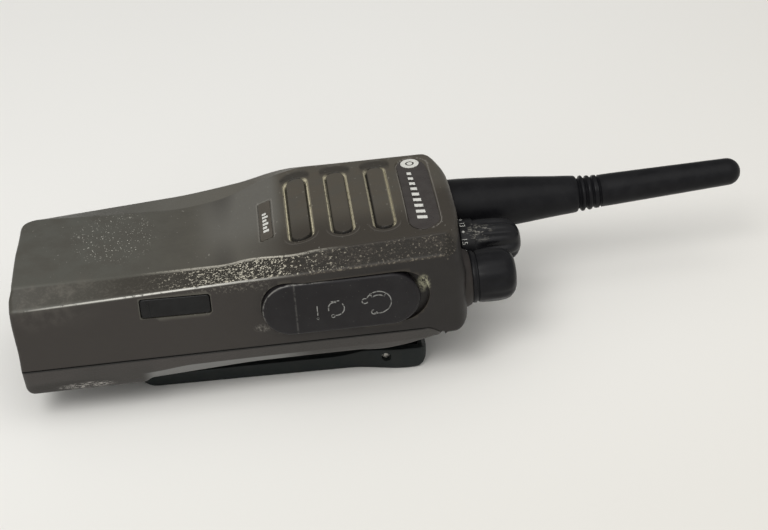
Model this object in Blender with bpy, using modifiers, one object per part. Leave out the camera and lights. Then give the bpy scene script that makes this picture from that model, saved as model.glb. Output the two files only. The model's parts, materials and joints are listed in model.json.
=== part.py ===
"""A handheld two way radio lying on its belt clip, as separate named pieces.

The pieces are drawn in the radio's own frame, in millimetres: X runs from the bottom end towards the
antenna, Y from the jack side towards the push-to-talk side, and Z from the back of the battery towards
the front. One empty then moves them all, so that the origin is at the middle of what the radio rests on.
"""

from math import cos, pi, sin, sqrt

import bmesh
import bpy
from mathutils import Matrix, Vector

MM = 0.001
GAP = 0.3  # between pieces that touch

# Housing: values at the bottom end, where the waist ends, where the head begins, and at the deck
DECK_X = 129.6
WAIST_X = 64.8
HEAD_X = 84.5
SIDE_HALF = (24.9, 27.3, 31.3, 30.0)
PANEL_HALF = (18.4, 16.6, 24.6, 23.5)
FRONT_Z = (31.1, 29.8, 36.6, 37.5)
SIDE_Z = (26.6, 30.4, 33.0, 33.5)
CAVITY_HALF = (22.3, 24.2, 26.2, 26.2)
PARTING_Z = 8.2
PARTING_HALF = 28.8
WALL = 2.2
BATTERY_END_X = 122.4
LOBE_X = 117.5  # where the lower edge begins to dip
CAVITY_X = (2.4, 125.4)
CAVITY_FLOOR_X = 121.0  # beyond this the cavity stays above the lobe

# Battery
BATTERY_HALF = 27.1
FOOT_Z = -1.3  # the thicker strip across the bottom end
FOOT_X = 34.0
TAPER_X = 98.0  # where the back begins to rise
TAPER_RISE = 4.9
CORE_HALF = 18.4
CORE_X = (18.0, 111.0)
CORE_Z = 12.6

# Sound slots, name plate and badge
SLOT_X = (83.9, 96.2, 108.5)
SLOT_HALF = 18.0
SLOT_WIDTH = 5.6
SLOT_MOAT = 1.1
PLATE_X = 118.9
PLATE_HALF = 21.0
BADGE_X = 73.9
BADGE_HALF = 10.9

# Jack side and push-to-talk side
COVER_X = (70.4, 115.8)
COVER_Z = 21.0
COVER_RADIUS = 8.6
COVER_FACE_Y = -31.4
COVER_BACK_Y = -28.2
CREASE_X = 80.0
INSERT_X = (36.3, 56.0)
INSERT_Z = (21.4, 27.1)
PTT_X = (50.0, 105.0)
PTT_Z = 20.3
PTT_RADIUS = 7.1
PTT_FACE_Y = 30.4
UPPER_X = 96.6  # the small buttons either side of the push-to-talk button
LOWER_X = 57.2

# Control deck
KNOB_Z = 17.5
CHANNEL_Y = 0.0
VOLUME_Y = -18.3
FLUTES = 12
FLUTE_DEPTH = 0.55
SHAFT_RADIUS = 2.9
ANTENNA_Y = 18.3
ANTENNA_Z = 20.0
ANTENNA_START = 130.4
ANTENNA_END = 223.0
ANTENNA_LEAN = 2.8 * pi / 180

# Belt clip
PIN_X = 105.5
PIN_Z = -7.8
CLIP_FACE_Z = -12.2
CLIP_TIP_X = 32.4
CLIP_END_X = 117.8


# ---------------------------------------------------------------- tools


def clear_scene():
    for item in list(bpy.data.objects):
        bpy.data.objects.remove(item, do_unlink=True)


def new_collection(name):
    collection = bpy.data.collections.new(name)
    bpy.context.scene.collection.children.link(collection)
    return collection


def new_material(name, colour, roughness, metallic=0.0):
    material = bpy.data.materials.new(name)
    material.use_nodes = True
    shader = material.node_tree.nodes["Principled BSDF"]
    shader.inputs["Base Color"].default_value = (*colour, 1.0)
    shader.inputs["Roughness"].default_value = roughness
    shader.inputs["Metallic"].default_value = metallic
    return material


def lerp(a, b, t):
    return a + (b - a) * t


def ease(t):
    t = min(max(t, 0.0), 1.0)
    return t * t * (3 - 2 * t)


def along(values, x):
    """A size that runs straight to the waist, eases up to the head, and runs straight to the deck."""
    low, waist, head, deck = values
    if x < WAIST_X:
        return lerp(low, waist, x / WAIST_X)
    if x < HEAD_X:
        return lerp(waist, head, ease((x - WAIST_X) / (HEAD_X - WAIST_X)))
    return lerp(head, deck, (x - HEAD_X) / (DECK_X - HEAD_X))


def quarter_drop(distance, radius):
    """How far a rounded end of this radius has pulled in at this distance from the end."""
    if distance >= radius:
        return 0.0
    return radius - sqrt(max(radius * radius - (radius - distance) ** 2, 0.0))


def rounded(corners, steps):
    """A polyline through corners given as (u, v, radius), each turned into an arc of steps points."""
    points = []
    for i, (u, v, radius) in enumerate(corners):
        here = Vector((u, v))
        before = Vector(corners[i - 1][:2]) - here
        after = Vector(corners[(i + 1) % len(corners)][:2]) - here
        if radius <= 0 or i in (0, len(corners) - 1) and radius < 0:
            points.append((u, v))
            continue
        half = before.angle(after) / 2
        reach = radius / max(abs(sin(half) / cos(half)), 1e-6)
        reach = min(reach, before.length * 0.49, after.length * 0.49)
        a = here + before.normalized() * reach
        b = here + after.normalized() * reach
        for k in range(steps + 1):
            t = k / steps
            p = a.lerp(here, t).lerp(here.lerp(b, t), t)
            points.append((p.x, p.y))
    return points


def finish_mesh(name, mesh, location=(0, 0, 0)):
    item = bpy.data.objects.new(name, mesh)
    item.location = Vector(location) * MM
    return item


def add_part(item, material, parent, smooth=40):
    """Puts a finished piece in the radio's collection, with its material, under its parent."""
    PARTS.objects.link(item)
    item.data.materials.clear()
    item.data.materials.append(material)
    item.parent = parent
    if item.type == "MESH":
        item.data.shade_smooth()
        item.data.set_sharp_from_angle(angle=smooth * pi / 180)
    return item


def add_cutter(item):
    CUTTERS.objects.link(item)
    item.parent = RADIO
    item.hide_render = True
    item.display_type = "WIRE"
    return item


def boolean(item, cutters, operation="DIFFERENCE"):
    for cutter in cutters:
        modifier = item.modifiers.new(cutter.name, "BOOLEAN")
        modifier.operation = operation
        modifier.solver = "EXACT"
        modifier.object = cutter
    return item


def box(name, low, high):
    """A box between two corners, with its origin at its centre."""
    low, high = Vector(low), Vector(high)
    mesh = bpy.data.meshes.new(name)
    shape = bmesh.new()
    bmesh.ops.create_cube(shape, size=1.0)
    bmesh.ops.scale(shape, vec=(high - low) * MM, verts=shape.verts)
    shape.to_mesh(mesh)
    shape.free()
    return finish_mesh(name, mesh, (low + high) / 2)


def soften(item, width, segments=2):
    modifier = item.modifiers.new("edges", "BEVEL")
    modifier.width = width * MM
    modifier.segments = segments
    modifier.limit_method = "ANGLE"
    return item


def cylinder(name, start, end, radius, segments=32, end_radius=None):
    """A cylinder or cone between two points, with its origin at its start."""
    start, end = Vector(start), Vector(end)
    length = (end - start).length
    mesh = bpy.data.meshes.new(name)
    shape = bmesh.new()
    bmesh.ops.create_cone(
        shape,
        cap_ends=True,
        segments=segments,
        radius1=radius * MM,
        radius2=(radius if end_radius is None else end_radius) * MM,
        depth=length * MM,
    )
    turn = (end - start).to_track_quat("Z", "Y").to_matrix().to_4x4()
    bmesh.ops.translate(shape, vec=(0, 0, length * MM / 2), verts=shape.verts)
    bmesh.ops.transform(shape, matrix=turn, verts=shape.verts)
    shape.to_mesh(mesh)
    shape.free()
    return finish_mesh(name, mesh, start)


def turned(name, profile, start, direction, steps=32):
    """A turned piece: a closed profile of (radius, height) pairs, outer side listed top to bottom."""
    mesh = bpy.data.meshes.new(name)
    shape = bmesh.new()
    verts = [shape.verts.new((r * MM, 0, h * MM)) for r, h in profile]
    pairs = list(zip(verts, verts[1:]))
    if profile[0][0] > 0:
        pairs.append((verts[-1], verts[0]))
    for a, b in pairs:
        shape.edges.new((a, b))
    shape.to_mesh(mesh)
    shape.free()
    item = finish_mesh(name, mesh, start)
    item.rotation_mode = "QUATERNION"
    item.rotation_quaternion = Vector(direction).to_track_quat("Z", "Y")
    screw = item.modifiers.new("turn", "SCREW")
    screw.steps = steps
    screw.render_steps = steps
    screw.use_merge_vertices = True
    screw.merge_threshold = 0.00001
    screw.use_smooth_shade = True
    return item


def prism(name, outline, axis, low, high):
    """A flat outline between two planes.

    Along X the outline is given as (Y, Z), along Y as (X, Z), along Z as (X, Y).
    """
    curve = bpy.data.curves.new(name, "CURVE")
    curve.dimensions = "2D"
    curve.fill_mode = "BOTH"
    curve.extrude = (high - low) * MM / 2
    spline = curve.splines.new("POLY")
    spline.points.add(len(outline) - 1)
    for point, (u, v) in zip(spline.points, outline):
        point.co = (u * MM, v * MM, 0, 1)
    spline.use_cyclic_u = True
    holder = bpy.data.objects.new(name + "_outline", curve)
    bpy.context.scene.collection.objects.link(holder)
    middle = (low + high) / 2 * MM
    columns = {
        "X": ((0, 1, 0), (0, 0, 1), (1, 0, 0)),
        "Y": ((1, 0, 0), (0, 0, 1), (0, -1, 0)),
        "Z": ((1, 0, 0), (0, 1, 0), (0, 0, 1)),
    }
    turn = Matrix(columns[axis]).transposed().to_4x4()
    shift = {"X": (middle, 0, 0), "Y": (0, middle, 0), "Z": (0, 0, middle)}[axis]
    depsgraph = bpy.context.evaluated_depsgraph_get()
    mesh = bpy.data.meshes.new_from_object(holder.evaluated_get(depsgraph))
    bpy.data.objects.remove(holder, do_unlink=True)
    shape = bmesh.new()
    shape.from_mesh(mesh)
    bmesh.ops.remove_doubles(shape, verts=shape.verts, dist=0.000001)
    bmesh.ops.transform(shape, matrix=Matrix.Translation(shift) @ turn, verts=shape.verts)
    bmesh.ops.recalc_face_normals(shape, faces=shape.faces)
    shape.to_mesh(mesh)
    shape.free()
    return finish_mesh(name, mesh)


def stadium(u, v, half_u, half_v, steps=8):
    """A stadium or rounded slot centred on (u, v), its longer half size first or second."""
    radius = min(half_u, half_v)
    du, dv = half_u - radius, half_v - radius
    points = []
    for start, cu, cv in ((0, du, dv), (1, -du, dv), (2, -du, -dv), (3, du, -dv)):
        for k in range(steps + 1):
            angle = (start + k / steps) * pi / 2
            point = (u + cu + radius * cos(angle), v + cv + radius * sin(angle))
            if not points or (Vector(point) - Vector(points[-1])).length > 1e-4:
                points.append(point)
    if (Vector(points[0]) - Vector(points[-1])).length < 1e-4:
        points.pop()
    return points


def slab(u0, v0, u1, v1, radius, steps=4):
    """A rectangle with rounded corners."""
    points = []
    for start, cu, cv in ((0, u1, v1), (1, u0, v1), (2, u0, v0), (3, u1, v0)):
        centre_u = cu - radius if cu == u1 else cu + radius
        centre_v = cv - radius if cv == v1 else cv + radius
        for k in range(steps + 1):
            angle = (start + k / steps) * pi / 2
            points.append((centre_u + radius * cos(angle), centre_v + radius * sin(angle)))
    return points


def loft(name, rings):
    """A closed skin over rings of points that run the same way round, with a fan over each end."""
    mesh = bpy.data.meshes.new(name)
    shape = bmesh.new()
    rows = [[shape.verts.new(Vector(p) * MM) for p in ring] for ring in rings]
    count = len(rows[0])
    for a, b in zip(rows, rows[1:]):
        for i in range(count):
            j = (i + 1) % count
            shape.faces.new((a[i], a[j], b[j], b[i]))
    for row in (rows[0], rows[-1]):
        centre = shape.verts.new(sum((v.co for v in row), Vector()) / count)
        for i in range(count):
            shape.faces.new((row[(i + 1) % count], row[i], centre))
    bmesh.ops.recalc_face_normals(shape, faces=shape.faces)
    shape.to_mesh(mesh)
    shape.free()
    return finish_mesh(name, mesh)


def wire(name, points, thickness, resolution=1):
    """A round wire along a list of points."""
    curve = bpy.data.curves.new(name, "CURVE")
    curve.dimensions = "3D"
    curve.bevel_depth = thickness * MM / 2
    curve.bevel_resolution = resolution
    curve.use_fill_caps = True
    spline = curve.splines.new("POLY")
    spline.points.add(len(points) - 1)
    for point, place in zip(spline.points, points):
        point.co = (*(Vector(place) * MM), 1)
    return bpy.data.objects.new(name, curve)


def coil_points(centre, axis, radius, length, turns, per_turn=10):
    centre, axis = Vector(centre), Vector(axis).normalized()
    side = axis.orthogonal().normalized()
    other = axis.cross(side)
    count = int(turns * per_turn)
    points = []
    for k in range(count + 1):
        angle = 2 * pi * k / per_turn
        place = centre + axis * (length * k / count)
        points.append(place + side * (radius * cos(angle)) + other * (radius * sin(angle)))
    return points


# ---------------------------------------------------------------- outer form


def lower_edge(x):
    """Height of the housing's lower edge: level, dipping to a lobe behind the end of the battery."""
    if x <= LOBE_X:
        return PARTING_Z + GAP
    if x <= BATTERY_END_X:
        return lerp(PARTING_Z + GAP, 7.3, ease((x - LOBE_X) / (BATTERY_END_X - LOBE_X)))
    return 6.6 + 0.4 * (x - BATTERY_END_X) / (DECK_X - BATTERY_END_X) + quarter_drop(DECK_X - x, 4.0)


def housing_ring(x):
    """The housing's section at x, from its lower edge over the front to its other lower edge."""
    ends = quarter_drop(x, 2.2) + quarter_drop(DECK_X - x, 4.0)
    top = quarter_drop(x, 1.2) + quarter_drop(DECK_X - x, 3.0)
    low_end = quarter_drop(x, 1.2)
    side = along(SIDE_HALF, x) - ends
    panel = along(PANEL_HALF, x) - ends
    front = along(FRONT_Z, x) - top
    edge = along(SIDE_Z, x) - top
    parting = PARTING_HALF - low_end - quarter_drop(DECK_X - x, 4.0)
    half = rounded(
        [(parting, lower_edge(x), 0), (side, edge, 1.3), (panel, front, 3.0), (0, front + 0.5, 0)], 3
    )
    left = [(-y, z) for y, z in reversed(half[:-1])]
    ring = []
    for y, z in half + left:
        arch = 2.4 * (max(abs(y) - 8.0, 0.0) / 16.0) ** 2
        arch *= ease((z - 24.0) / 12.0) * ease((x - 108.0) / (DECK_X - 108.0))
        ring.append((x - arch, y, z))
    return ring


def housing_stations():
    ends = (0.0, 0.2, 0.7, 1.4, 2.2)
    lobe = (LOBE_X, 119.5, 121.0, 122.0, BATTERY_END_X, 122.7, 124.5, 125.8)
    deck = (127.0, 128.0, 128.8, 129.4, DECK_X)
    middle = (20.0, 42.0, 58.0, WAIST_X, 68.0, 71.0, 74.0, 77.0, 81.0, HEAD_X, 96.0, 107.0, 113.0)
    return ends + middle + lobe + deck


def battery_ring(x):
    """The battery's outer section at x, from one upper edge round the back to the other."""
    near_end = quarter_drop(x, 2.5)
    far_end = quarter_drop(BATTERY_END_X - 0.4 - x, 1.5)
    taper = (max(x - TAPER_X, 0.0) / (BATTERY_END_X - TAPER_X)) ** 1.4
    upper = min(PARTING_Z, lower_edge(x) - GAP - 0.05)
    back = lerp(FOOT_Z, 0.0, ease((x - FOOT_X) / 3.0)) + near_end * 0.9 + TAPER_RISE * taper + far_end
    half_back = BATTERY_HALF - near_end * 0.5 - 0.5 * taper - far_end
    half = PARTING_HALF - quarter_drop(x, 1.2) - far_end * 0.8
    side = rounded([(half, upper, 0), (half_back, back, 2.4), (0, back, 0)], 3)
    other = [(-y, z) for y, z in reversed(side[:-1])]
    return [(x, y, z) for y, z in side + other]


def battery_stations():
    bottom = (0.0, 0.4, 1.2, 2.5, 12.0, 24.0, FOOT_X, 35.5, 37.0)
    return bottom + (60.0, 84.0, 100.0, 105.0, 111.0, LOBE_X, 119.0, 120.5, 121.4, 122.0)


# ---------------------------------------------------------------- housing and what is set in it


def make_front_housing():
    outer = loft("front_housing", [housing_ring(x) for x in housing_stations()])
    collar = add_cutter(cylinder("collar", (126.5, VOLUME_Y, KNOB_Z), (131.6, VOLUME_Y, KNOB_Z), 8.3, 40))
    shelf = add_cutter(box("spring_shelf", (1.0, -3.0, 20.0), (5.6, 3.0, 21.4)))
    boolean(outer, [add_cutter(make_cavity())])
    boolean(outer, [collar, shelf], "UNION")
    cutters = slot_cutters() + recess_cutters() + deck_cutters() + side_cutters()
    return boolean(outer, [add_cutter(cutter) for cutter in cutters])


def make_cavity():
    rings = []
    for x in (CAVITY_X[0], 40.0, WAIST_X, 71.0, 76.0, HEAD_X, 110.0, 120.8, 121.4, CAVITY_X[1]):
        floor = 4.0 if x < CAVITY_FLOOR_X else 8.6
        half = along(CAVITY_HALF, x)
        front = along(FRONT_Z, x) - WALL
        edge = min(along(SIDE_Z, x) - 1.6, front - 0.4)
        panel = min(along(PANEL_HALF, x) - 1.2, half - 1.0)
        top = [(half, edge), (panel, front), (-panel, front), (-half, edge)]
        rings.append([(x, y, z) for y, z in [(half, floor)] + top + [(-half, floor)]])
    return loft("cavity", rings)


def surface_z(x):
    return along(FRONT_Z, x) + 0.5


def slot_cutters():
    cutters = []
    for i, x in enumerate(SLOT_X):
        top = surface_z(x)
        half = SLOT_WIDTH / 2
        outer = stadium(x, 0, half + SLOT_MOAT, SLOT_HALF + SLOT_MOAT, 4)
        inner = stadium(x, 0, half, SLOT_HALF, 4)
        moat = prism(f"slot_moat_{i}", outer, "Z", top - 1.6, top + 3)
        island = add_cutter(prism(f"slot_island_{i}", inner, "Z", top - 4, top + 4))
        cutters.append(boolean(moat, [island]))
        for side in (-1, 1):
            for end in (-1, 1):
                centre_x = x + side * (half + SLOT_MOAT / 2)
                slit = stadium(centre_x, end * 7.6, 0.35, 5.6, 1)
                cutters.append(prism(f"slot_slit_{i}_{side}_{end}", slit, "Z", top - 6, top))
    return cutters


def recess_cutters():
    plate = stadium(PLATE_X, 0, 4.2, PLATE_HALF, 6)
    badge = slab(BADGE_X - 2.1, -BADGE_HALF, BADGE_X + 2.1, BADGE_HALF, 0.6, 2)
    top = surface_z(PLATE_X)
    pad = surface_z(BADGE_X)
    return [
        prism("plate_recess", plate, "Z", top - 1.3, top + 2),
        prism("badge_recess", badge, "Z", pad - 2.6, pad + 4),
    ]


def deck_cutters():
    holes = [
        cylinder("channel_hole", (120, CHANNEL_Y, KNOB_Z), (135, CHANNEL_Y, KNOB_Z), 3.7, 24),
        cylinder("volume_hole", (120, VOLUME_Y, KNOB_Z), (135, VOLUME_Y, KNOB_Z), 3.7, 24),
        cylinder("antenna_hole", (120, ANTENNA_Y, ANTENNA_Z), (135, ANTENNA_Y, ANTENNA_Z), 5.5, 24),
        cylinder("light_hole", (120, 9.4, 28.6), (135, 9.4, 28.6), 1.8, 16),
    ]
    latch = box("latch_recess", (-2, -9.3, 9.6), (1.3, 9.3, 20.2))
    stem = box("latch_slot", (-2, -3.3, 10.6), (4, 3.3, 18.4))
    return holes + [latch, stem]


def side_cutters():
    cover = stadium(94.3, COVER_Z, 24.2, COVER_RADIUS + GAP, 6)
    insert = slab(INSERT_X[0] - GAP, INSERT_Z[0] - GAP, INSERT_X[1] + GAP, INSERT_Z[1] + GAP, 0.9, 2)
    middle = (PTT_X[0] + PTT_X[1]) / 2
    length = (PTT_X[1] - PTT_X[0]) / 2
    ptt = stadium(middle, PTT_Z, length + GAP, PTT_RADIUS + GAP, 6)
    return [
        prism("cover_recess", cover, "Y", -36, -27.9),
        cylinder("small_jack_hole", (93, -30, COVER_Z), (93, -24, COVER_Z), 2.5, 20),
        cylinder("large_jack_hole", (104, -30, COVER_Z), (104, -24, COVER_Z), 3.0, 20),
        prism("insert_recess", insert, "Y", -34, -25.6),
        prism("ptt_opening", ptt, "Y", 22.4, 38),
    ]


def make_housing_pieces():
    add_part(make_front_housing(), PLASTIC, RADIO, 30)
    plate = stadium(PLATE_X, 0, 3.9, PLATE_HALF - GAP, 6)
    top = surface_z(PLATE_X)
    add_part(prism("name_plate", plate, "Z", top - 1.0, top - 0.35), GLOSS, RADIO)
    badge = slab(BADGE_X - 1.8, -BADGE_HALF + GAP, BADGE_X + 1.8, BADGE_HALF - GAP, 0.5, 2)
    pad = surface_z(BADGE_X)
    add_part(prism("model_badge", badge, "Z", pad - 2.3, pad - 1.5), GLOSS, RADIO)
    insert = slab(INSERT_X[0], INSERT_Z[0], INSERT_X[1], INSERT_Z[1], 0.7, 2)
    add_part(prism("side_insert", insert, "Y", -27.6, -25.9), SATIN, RADIO)
    add_part(cylinder("light_lens", (124.6, 9.4, 28.6), (130.0, 9.4, 28.6), 1.4, 16), LENS, RADIO)


# ---------------------------------------------------------------- speaker and microphone


def make_sound_pieces():
    x = SLOT_X[1]
    cloth = slab(81.0, -20.0, 113.2, 20.0, 3.0, 3)
    add_part(prism("grille_cloth", cloth, "Z", 32.9, 33.2), CLOTH, RADIO)
    frame = [(17.0, 32.6), (17.0, 31.2), (12, 27.0), (9.2, 27.0)]
    frame += [(9.2, 27.8), (11.6, 27.8), (15.9, 31.6), (15.9, 32.6)]
    add_part(turned("speaker_frame", frame, (x, 0, 0), (0, 0, 1), 28), STEEL, RADIO)
    cone = [(0, 29.1), (4.6, 29.1), (14.8, 32.4), (15.6, 32.4), (15.6, 32.1), (5.0, 28.6), (0, 28.6)]
    add_part(turned("speaker_cone", cone, (x, 0, 0), (0, 0, 1), 28), CLOTH, RADIO)
    add_part(cylinder("speaker_magnet", (x, 0, 24.0), (x, 0, 28.2), 8.8, 28), STEEL, RADIO)
    retainer = slab(x - 17.5, -3.5, x + 17.5, 3.5, 2.0, 3)
    add_part(prism("speaker_retainer", retainer, "Z", 22.8, 23.7), STEEL, RADIO)
    boot = [(4.9, 27.2), (4.9, 22.4), (3.5, 22.4), (3.5, 27.2)]
    add_part(turned("microphone_boot", boot, (68, 0, 0), (0, 0, 1), 16), RUBBER, RADIO)
    add_part(cylinder("microphone", (68, 0, 23.6), (68, 0, 26.6), 3.1, 24), STEEL, RADIO)


# ---------------------------------------------------------------- boards, chassis and contacts


def make_inner_pieces():
    board = prism("main_board", slab(8, -17, 111.5, 17, 1.5, 2), "Z", 19.4, 20.8)
    posts = [(12, -14), (12, 14), (106, -14), (106, 14)]
    holes = upright_cylinders("board_hole", posts, 15, 25, 1.5, 12)
    add_part(boolean(board, holes), BOARD, RADIO)
    add_part(shield_can("front_shield", (20, -12, 21.1), (54, 12, 24.2), up=True), STEEL, RADIO)
    add_part(shield_can("rear_shield", (24, -12, 16.0), (92, 12, 19.1), up=False), STEEL, RADIO)

    chassis = prism("chassis", slab(7.0, -21.6, 124.6, 21.6, 2.0, 2), "Z", 8.9, 15.2)
    hollow = box("chassis_hollow", (3.0, -20.2, 5.0), (111.9, 20.2, 13.2))
    deck_room = box("switch_room", (113.4, -30.0, 12.9), (130.0, 30.0, 20.0))
    window = box("contact_window", (98.0, -8.3, 10.0), (110.0, 8.3, 18.0))
    stem = box("latch_clearance", (4.0, -4.5, 8.0), (9.5, 4.5, 18.0))
    boolean(chassis, [add_cutter(item) for item in (hollow, deck_room, window, stem)])
    boolean(chassis, upright_cylinders("chassis_post", posts, 14, 19.1, 2.2, 16), "UNION")
    hooks = []
    for i, x in enumerate((30, 76)):
        for side in (-1, 1):
            low, high = sorted((side * 18.8, side * 20.6))
            hooks.append(add_cutter(box(f"hook_{i}_{side}", (x, low, 8.9), (x + 12, high, 9.9))))
    boolean(chassis, hooks, "UNION")
    bores = upright_cylinders("post_bore", posts, 10, 20, 0.9, 10)
    add_part(boolean(chassis, bores), ALLOY, RADIO)

    seal = prism("chassis_seal", slab(6.0, -22.0, 113.4, 22.0, 2.4, 3), "Z", 15.5, 16.6)
    inner = add_cutter(prism("seal_inner", slab(7.4, -20.6, 112.0, 20.6, 1.6, 3), "Z", 14, 18))
    add_part(boolean(seal, [inner]), RUBBER, RADIO)
    make_screws(posts)

    block = box("contact_block", (98.4, -7.9, 13.5), (109.6, 7.9, 18.9))
    add_part(soften(block, 0.4, 1), SATIN, RADIO)
    make_contacts("contact_springs", 13.2, 12.9, BRASS, RADIO)


def upright_cylinders(name, places, low, high, radius, segments):
    """One cutter for each of the places where the board is screwed down."""
    made = []
    for i, (x, y) in enumerate(places):
        made.append(add_cutter(cylinder(f"{name}_{i}", (x, y, low), (x, y, high), radius, segments)))
    return made


def shield_can(name, low, high, up):
    """A pressed can, open towards the board."""
    can = box(name, low, high)
    inside_low = Vector(low) + Vector((0.4, 0.4, -1 if up else 0.4))
    inside_high = Vector(high) - Vector((0.4, 0.4, 0.4 if up else -1))
    return boolean(can, [add_cutter(box(name + "_inside", inside_low, inside_high))])


def make_screws(places):
    for i, (x, y) in enumerate(places, 1):
        profile = [(0, 1.2), (1.4, 1.2), (1.9, 0.7), (1.9, 0), (0, 0)]
        add_part(turned(f"board_screw_{i}", profile, (x, y, 21.1), (0, 0, 1), 10), STEEL, RADIO)


def make_contacts(name, top, bottom, material, parent):
    """Four contact pads in a row, on one carrier strip."""
    strip = box(name, (102.4, -6.6, bottom), (105.6, 6.6, (top + bottom) / 2))
    pads = []
    for i, y in enumerate((-5.4, -1.8, 1.8, 5.4)):
        pads.append(add_cutter(box(f"{name}_{i}", (101.0, y - 1.1, bottom), (107.0, y + 1.1, top))))
    return add_part(boolean(strip, pads, "UNION"), material, parent)


# ---------------------------------------------------------------- jack side


def make_jack_side():
    block = box("jack_block", (88, -25.8, 17.0), (110, -17.4, 25.6))
    bores = [
        cylinder("small_bore", (93, -30, COVER_Z), (93, -19, COVER_Z), 2.5, 20),
        cylinder("large_bore", (104, -30, COVER_Z), (104, -19, COVER_Z), 3.0, 20),
    ]
    add_part(boolean(block, [add_cutter(bore) for bore in bores]), SATIN, RADIO)
    for name, x, outer, inner in (("small_jack", 93, 2.2, 1.3), ("large_jack", 104, 2.7, 1.8)):
        wall = [(0.0, 0.8), (inner, 0.8), (inner, 8.2), (outer, 8.2), (outer, 0.0), (0.0, 0.0)]
        add_part(turned(name, wall, (x, -19.5, COVER_Z), (0, -1, 0), 16), BRASS, RADIO)

    middle = (COVER_X[0] + COVER_X[1]) / 2
    length = (COVER_X[1] - COVER_X[0]) / 2
    outline = stadium(middle, COVER_Z, length, COVER_RADIUS, 8)
    anchor_trim = add_cutter(box("anchor_trim", (CREASE_X - GAP / 2, -40, 0), (130, -20, 40)))
    anchor = prism("dust_cover_anchor", outline, "Y", COVER_FACE_Y, COVER_BACK_Y)
    add_part(boolean(anchor, [anchor_trim]), RUBBER, RADIO)
    flap_trim = add_cutter(box("flap_trim", (40, -40, 0), (CREASE_X + GAP / 2, -20, 40)))
    hinge = empty("dust_cover_hinge", (CREASE_X, COVER_FACE_Y, COVER_Z))
    flap = prism("dust_cover_flap", outline, "Y", COVER_FACE_Y, COVER_BACK_Y)
    boolean(flap, [flap_trim])
    ride(flap, hinge)
    add_part(flap, RUBBER, hinge)


def empty(name, place):
    """A parent on a joint's axis."""
    holder = bpy.data.objects.new(name, None)
    bpy.context.scene.collection.objects.link(holder)
    holder.parent = RADIO
    holder.location = Vector(place) * MM
    return holder


def ride(item, holder):
    """Keeps a piece where it was drawn when it is put under a joint's empty."""
    item.location = item.location - holder.location


# ---------------------------------------------------------------- push-to-talk side


def make_ptt_side():
    middle = (PTT_X[0] + PTT_X[1]) / 2
    length = (PTT_X[1] - PTT_X[0]) / 2
    plan = [(50, 26.2), (105, 26.2), (105, 29.7), (104, PTT_FACE_Y), (66, PTT_FACE_Y), (50, 28.4)]
    bezel = prism("ptt_bezel", plan, "Z", 10, 31)
    form = add_cutter(prism("ptt_form", stadium(middle, PTT_Z, length, PTT_RADIUS, 6), "Y", 20, 36))
    boolean(bezel, [form], "INTERSECT")
    openings = [
        prism("ptt_button_opening", slab(63.7, 15.0, 88.3, 25.6, 3.0, 3), "Y", 20, 36),
        prism("ptt_flange_room", slab(62.5, 14.4, 89.5, 26.2, 3.4, 3), "Y", 20, 28.4),
        cylinder("upper_opening", (UPPER_X, 20, PTT_Z), (UPPER_X, 36, PTT_Z), 3.9, 24),
        cylinder("lower_opening", (LOWER_X, 20, PTT_Z), (LOWER_X, 36, PTT_Z), 3.9, 24),
    ]
    add_part(boolean(bezel, [add_cutter(opening) for opening in openings]), SATIN, RADIO)

    button = prism("ptt_button", slab(64.0, 15.3, 88.0, 25.3, 2.7, 3), "Y", 27.0, 31.3)
    flange = add_cutter(prism("ptt_flange", slab(62.9, 14.8, 89.1, 25.8, 3.0, 3), "Y", 27.0, 28.0))
    add_part(boolean(button, [flange], "UNION"), RUBBER, RADIO)
    for name, x, height in (("side_button_upper", UPPER_X, 4.2), ("side_button_lower", LOWER_X, 3.4)):
        profile = [(0, height), (3.0, height), (3.6, height - 0.5), (3.6, 0), (0, 0)]
        add_part(turned(name, profile, (x, 27, PTT_Z), (0, 1, 0), 28), RUBBER, RADIO)
    board = box("side_switch_board", (55, 23.6, 16.2), (101.5, 24.5, 24.4))
    domes = []
    for i, x in enumerate((LOWER_X, 76, UPPER_X)):
        domes.append(add_cutter(cylinder(f"dome_{i}", (x, 24.2, PTT_Z), (x, 25.4, PTT_Z), 2.6, 16, 1.6)))
    add_part(boolean(board, domes, "UNION"), BOARD, RADIO)


# ---------------------------------------------------------------- controls and antenna


def fluted_knob(name, base, length, radius, skirt, skirt_length, dome, y):
    """A knob along X with finger flutes, a wider skirt at its base and an end domed by this share."""
    count = FLUTES * 3
    sections = [(0.0, skirt, 0), (skirt_length, skirt, 0)]
    sections += [(skirt_length + 0.6, radius, 0), (skirt_length + 1.8, radius, 1)]
    sections += [(length - 4.0, radius * 0.98, 1), (length - 1.8, radius * (1 - 0.16 * dome), 0.6)]
    sections += [(length - 0.6, radius * (1 - 0.42 * dome), 0), (length, radius * (1 - 0.65 * dome), 0)]
    rings = []
    for x, r, depth in sections:
        ring = []
        for k in range(count):
            angle = 2 * pi * k / count
            flute = 0.5 * (1 - cos(FLUTES * angle)) * FLUTE_DEPTH * depth
            ring.append((x, (r - flute) * cos(angle), (r - flute) * sin(angle)))
        rings.append(ring)
    knob = loft(name, rings)
    knob.location = Vector((base, y, KNOB_Z)) * MM
    return knob


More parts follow.
